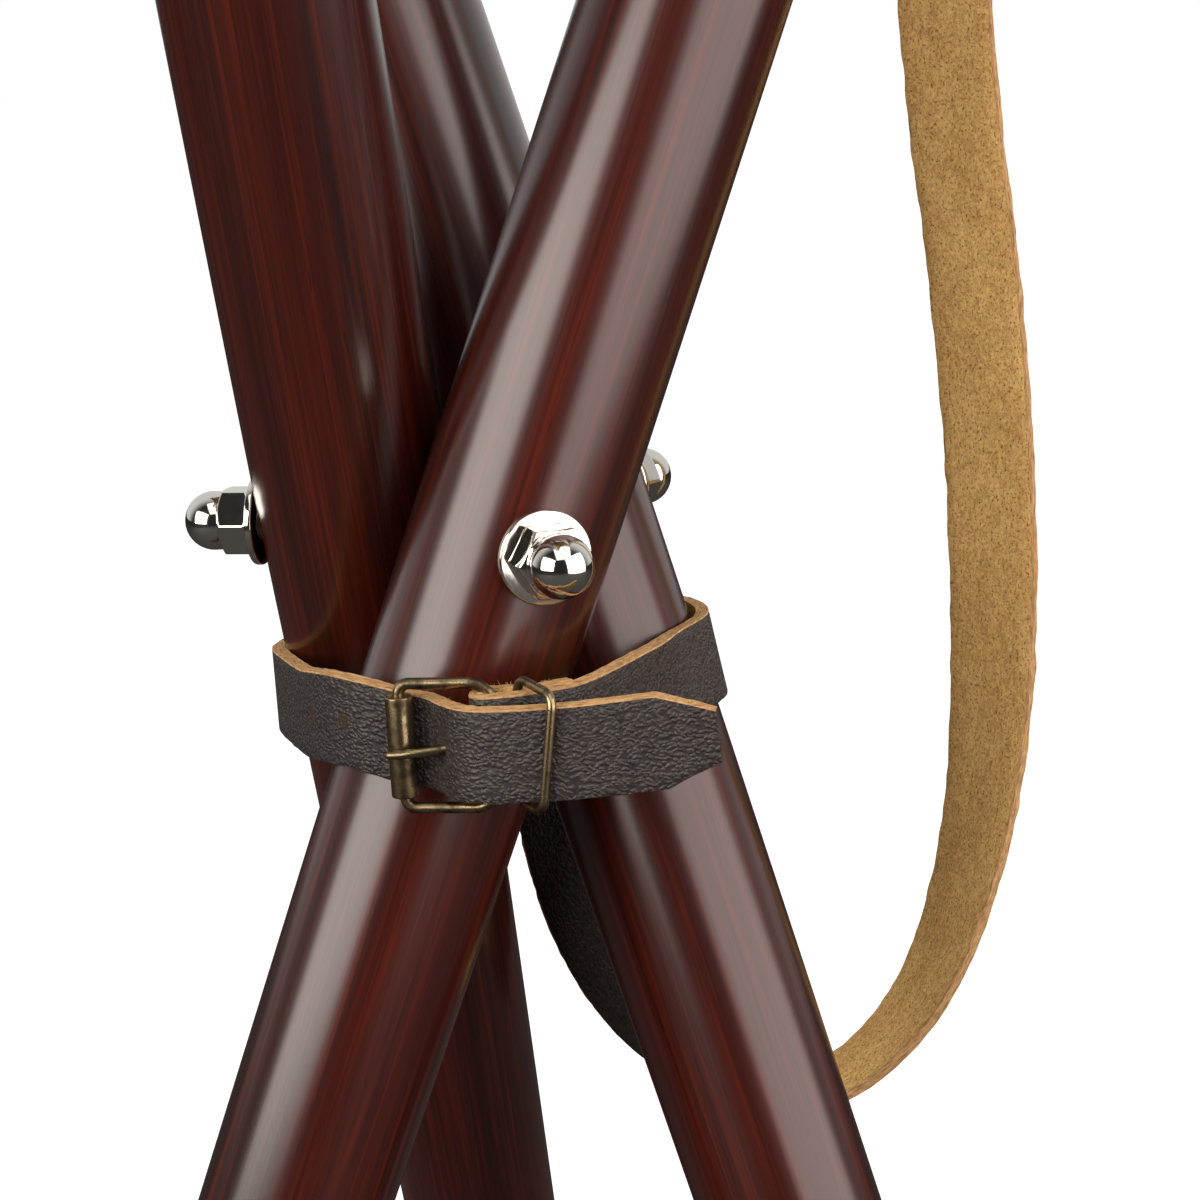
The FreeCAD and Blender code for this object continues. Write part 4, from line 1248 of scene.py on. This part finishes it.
def floor_finish():
    """Pale paper floor that the camera sees as white, with the stool's shadow, and dim in reflections."""
    f = Finish("paper_floor")
    seen = f.node("ShaderNodeLightPath", output="Is Camera Ray")
    spot = f.node("ShaderNodeTexCoord", output="Object")
    far = f.node("ShaderNodeVectorMath", {"operation": "LENGTH"}, {0: spot}, output="Value").step(0.28, 0.52)
    return f.surface(
        base_color=f.mix(seen, (0.06, 0.06, 0.06), (0.24, 0.24, 0.24)),
        roughness=1.0,
        specular_ior_level=0.0,
        emission_color=f.mix(seen * (0.74 + far * 0.26), (0.0, 0.0, 0.0), (1.0, 1.0, 1.0)),
        emission_strength=1.0,
    )


def light_world(stage):
    """White backdrop for the camera and behind the stool, dim room behind the camera."""
    world = bpy.data.worlds.new("studio")
    world.use_nodes = True
    bpy.context.scene.world = world
    f = Finish("studio", world.node_tree)
    way = f.node("ShaderNodeTexCoord", output="Generated")
    back = (-sin(stage.azimuth), cos(stage.azimuth), 0.25)
    facing = f.node("ShaderNodeVectorMath", {"operation": "DOT_PRODUCT"}, {0: way, 1: back}, output="Value")
    seen = f.node("ShaderNodeLightPath", output="Is Camera Ray")
    room = facing.step(-0.10, 0.60) * (stage.sky * 1.2) + stage.sky * 0.04
    strength = seen + (1.0 - seen) * room
    sky = f.node("ShaderNodeBackground", inputs={"Color": (1.0, 1.0, 1.0, 1.0), "Strength": strength})
    f.node("ShaderNodeOutputWorld", inputs={"Surface": sky})


class STOOL_OT_set_stage(bpy.types.Operator):
    """Sets the pale floor, the soft studio lamps and the camera"""

    bl_idname = "stool.set_stage"
    bl_label = "Set stage"

    def execute(self, context):
        scene = context.scene
        stage = scene.stool_stage
        scene.view_settings.view_transform = "Standard"
        corners, floor_radius = 64, 14.0
        turn = np.linspace(0.0, 2.0 * pi, corners, endpoint=False)
        ring = np.column_stack([np.cos(turn), np.sin(turn), np.zeros(corners)]) * floor_radius
        mesh = bpy.data.meshes.new("floor")
        mesh.from_pydata(ring.tolist(), [], [list(range(corners))])
        mesh.materials.append(floor_finish())
        floor = bpy.data.objects.new("floor", mesh)
        scene.collection.objects.link(floor)
        light_world(stage)

        azimuth, elevation = stage.azimuth, stage.elevation
        back = np.array((sin(azimuth) * cos(elevation), -cos(azimuth) * cos(elevation), sin(elevation)))
        right = np.array((cos(azimuth), sin(azimuth), 0.0))
        above = np.cross(back, right)
        aim = HUB + right * stage.aim_right + UP * stage.aim_rise
        side = right * cos(stage.roll) + above * sin(stage.roll)
        head = above * cos(stage.roll) - right * sin(stage.roll)
        camera = bpy.data.objects.new("photo_camera", bpy.data.cameras.new("photo_camera"))
        camera.data.lens = stage.lens
        camera.data.sensor_width = 36.0
        camera.data.clip_start = 0.01
        camera.matrix_world = Matrix.Translation(aim + back * stage.distance) @ Matrix(
            np.column_stack([side, head, back]).tolist()
        ).to_4x4()
        scene.collection.objects.link(camera)
        scene.camera = camera

        front = np.array((sin(azimuth), -cos(azimuth), 0.0))

        def lamp_place(degrees_left, rise, distance):
            angle = radians(degrees_left)
            return HUB + (front * cos(angle) - right * sin(angle)) * distance + UP * rise

        lamps = (
            ("key_lamp", lamp_place(52.0, 0.36, 1.25), (1.20, 0.90), stage.key_power, (1.0, 0.93, 0.87)),
            ("fill_lamp", lamp_place(-55.0, 0.30, 1.35), (1.90, 1.60), stage.fill_power, (1.0, 0.90, 0.86)),
            ("top_lamp", lamp_place(-10.0, 1.15, 0.65), (1.20, 1.20), stage.top_power, (1.0, 0.97, 0.94)),
        )
        for name, place, spread, power, tint in lamps:
            area_lamp(name, place, HUB, spread, power, tint)
        return {"FINISHED"}


OPERATORS = (
    STOOL_OT_hang_sling,
    STOOL_OT_turn_legs,
    STOOL_OT_fit_hardware,
    STOOL_OT_buckle_strap,
    STOOL_OT_bend_buckle,
    STOOL_OT_stretch_seat,
    STOOL_OT_sew_pockets,
    STOOL_OT_set_stage,
)
SETTINGS = {
    "stool_legs": StoolLegSizes,
    "stool_hardware": StoolHardwareSizes,
    "stool_strap": StoolStrapSizes,
    "stool_seat": StoolSeatSizes,
    "stool_sling": StoolSlingSizes,
    "stool_colours": StoolColours,
    "stool_stage": StoolStage,
}


class STOOL_PT_panel(bpy.types.Panel):
    """Lists the steps that make the stool"""

    bl_idname = "STOOL_PT_panel"
    bl_label = "Folding stool"
    bl_space_type = "VIEW_3D"
    bl_region_type = "UI"
    bl_category = "Stool"

    def draw(self, context):
        for operator in OPERATORS:
            self.layout.operator(operator.bl_idname)
        for setting in SETTINGS:
            group = getattr(context.scene, setting)
            box = self.layout.box()
            for key in group.__annotations__:
                box.prop(group, key)


CLASSES = (*SETTINGS.values(), *OPERATORS, STOOL_PT_panel)


def register():
    for item in CLASSES:
        bpy.utils.register_class(item)
    for setting, group in SETTINGS.items():
        setattr(bpy.types.Scene, setting, PointerProperty(type=group))


def unregister():
    for setting in SETTINGS:
        delattr(bpy.types.Scene, setting)
    for item in reversed(CLASSES):
        bpy.utils.unregister_class(item)


def main():
    register()
    bpy.ops.stool.hang_sling()
    bpy.ops.stool.turn_legs()
    bpy.ops.stool.fit_hardware()
    bpy.ops.stool.buckle_strap()
    bpy.ops.stool.bend_buckle()
    bpy.ops.stool.stretch_seat()
    bpy.ops.stool.sew_pockets()
    bpy.ops.stool.set_stage()


if __name__ == "__main__":
    main()
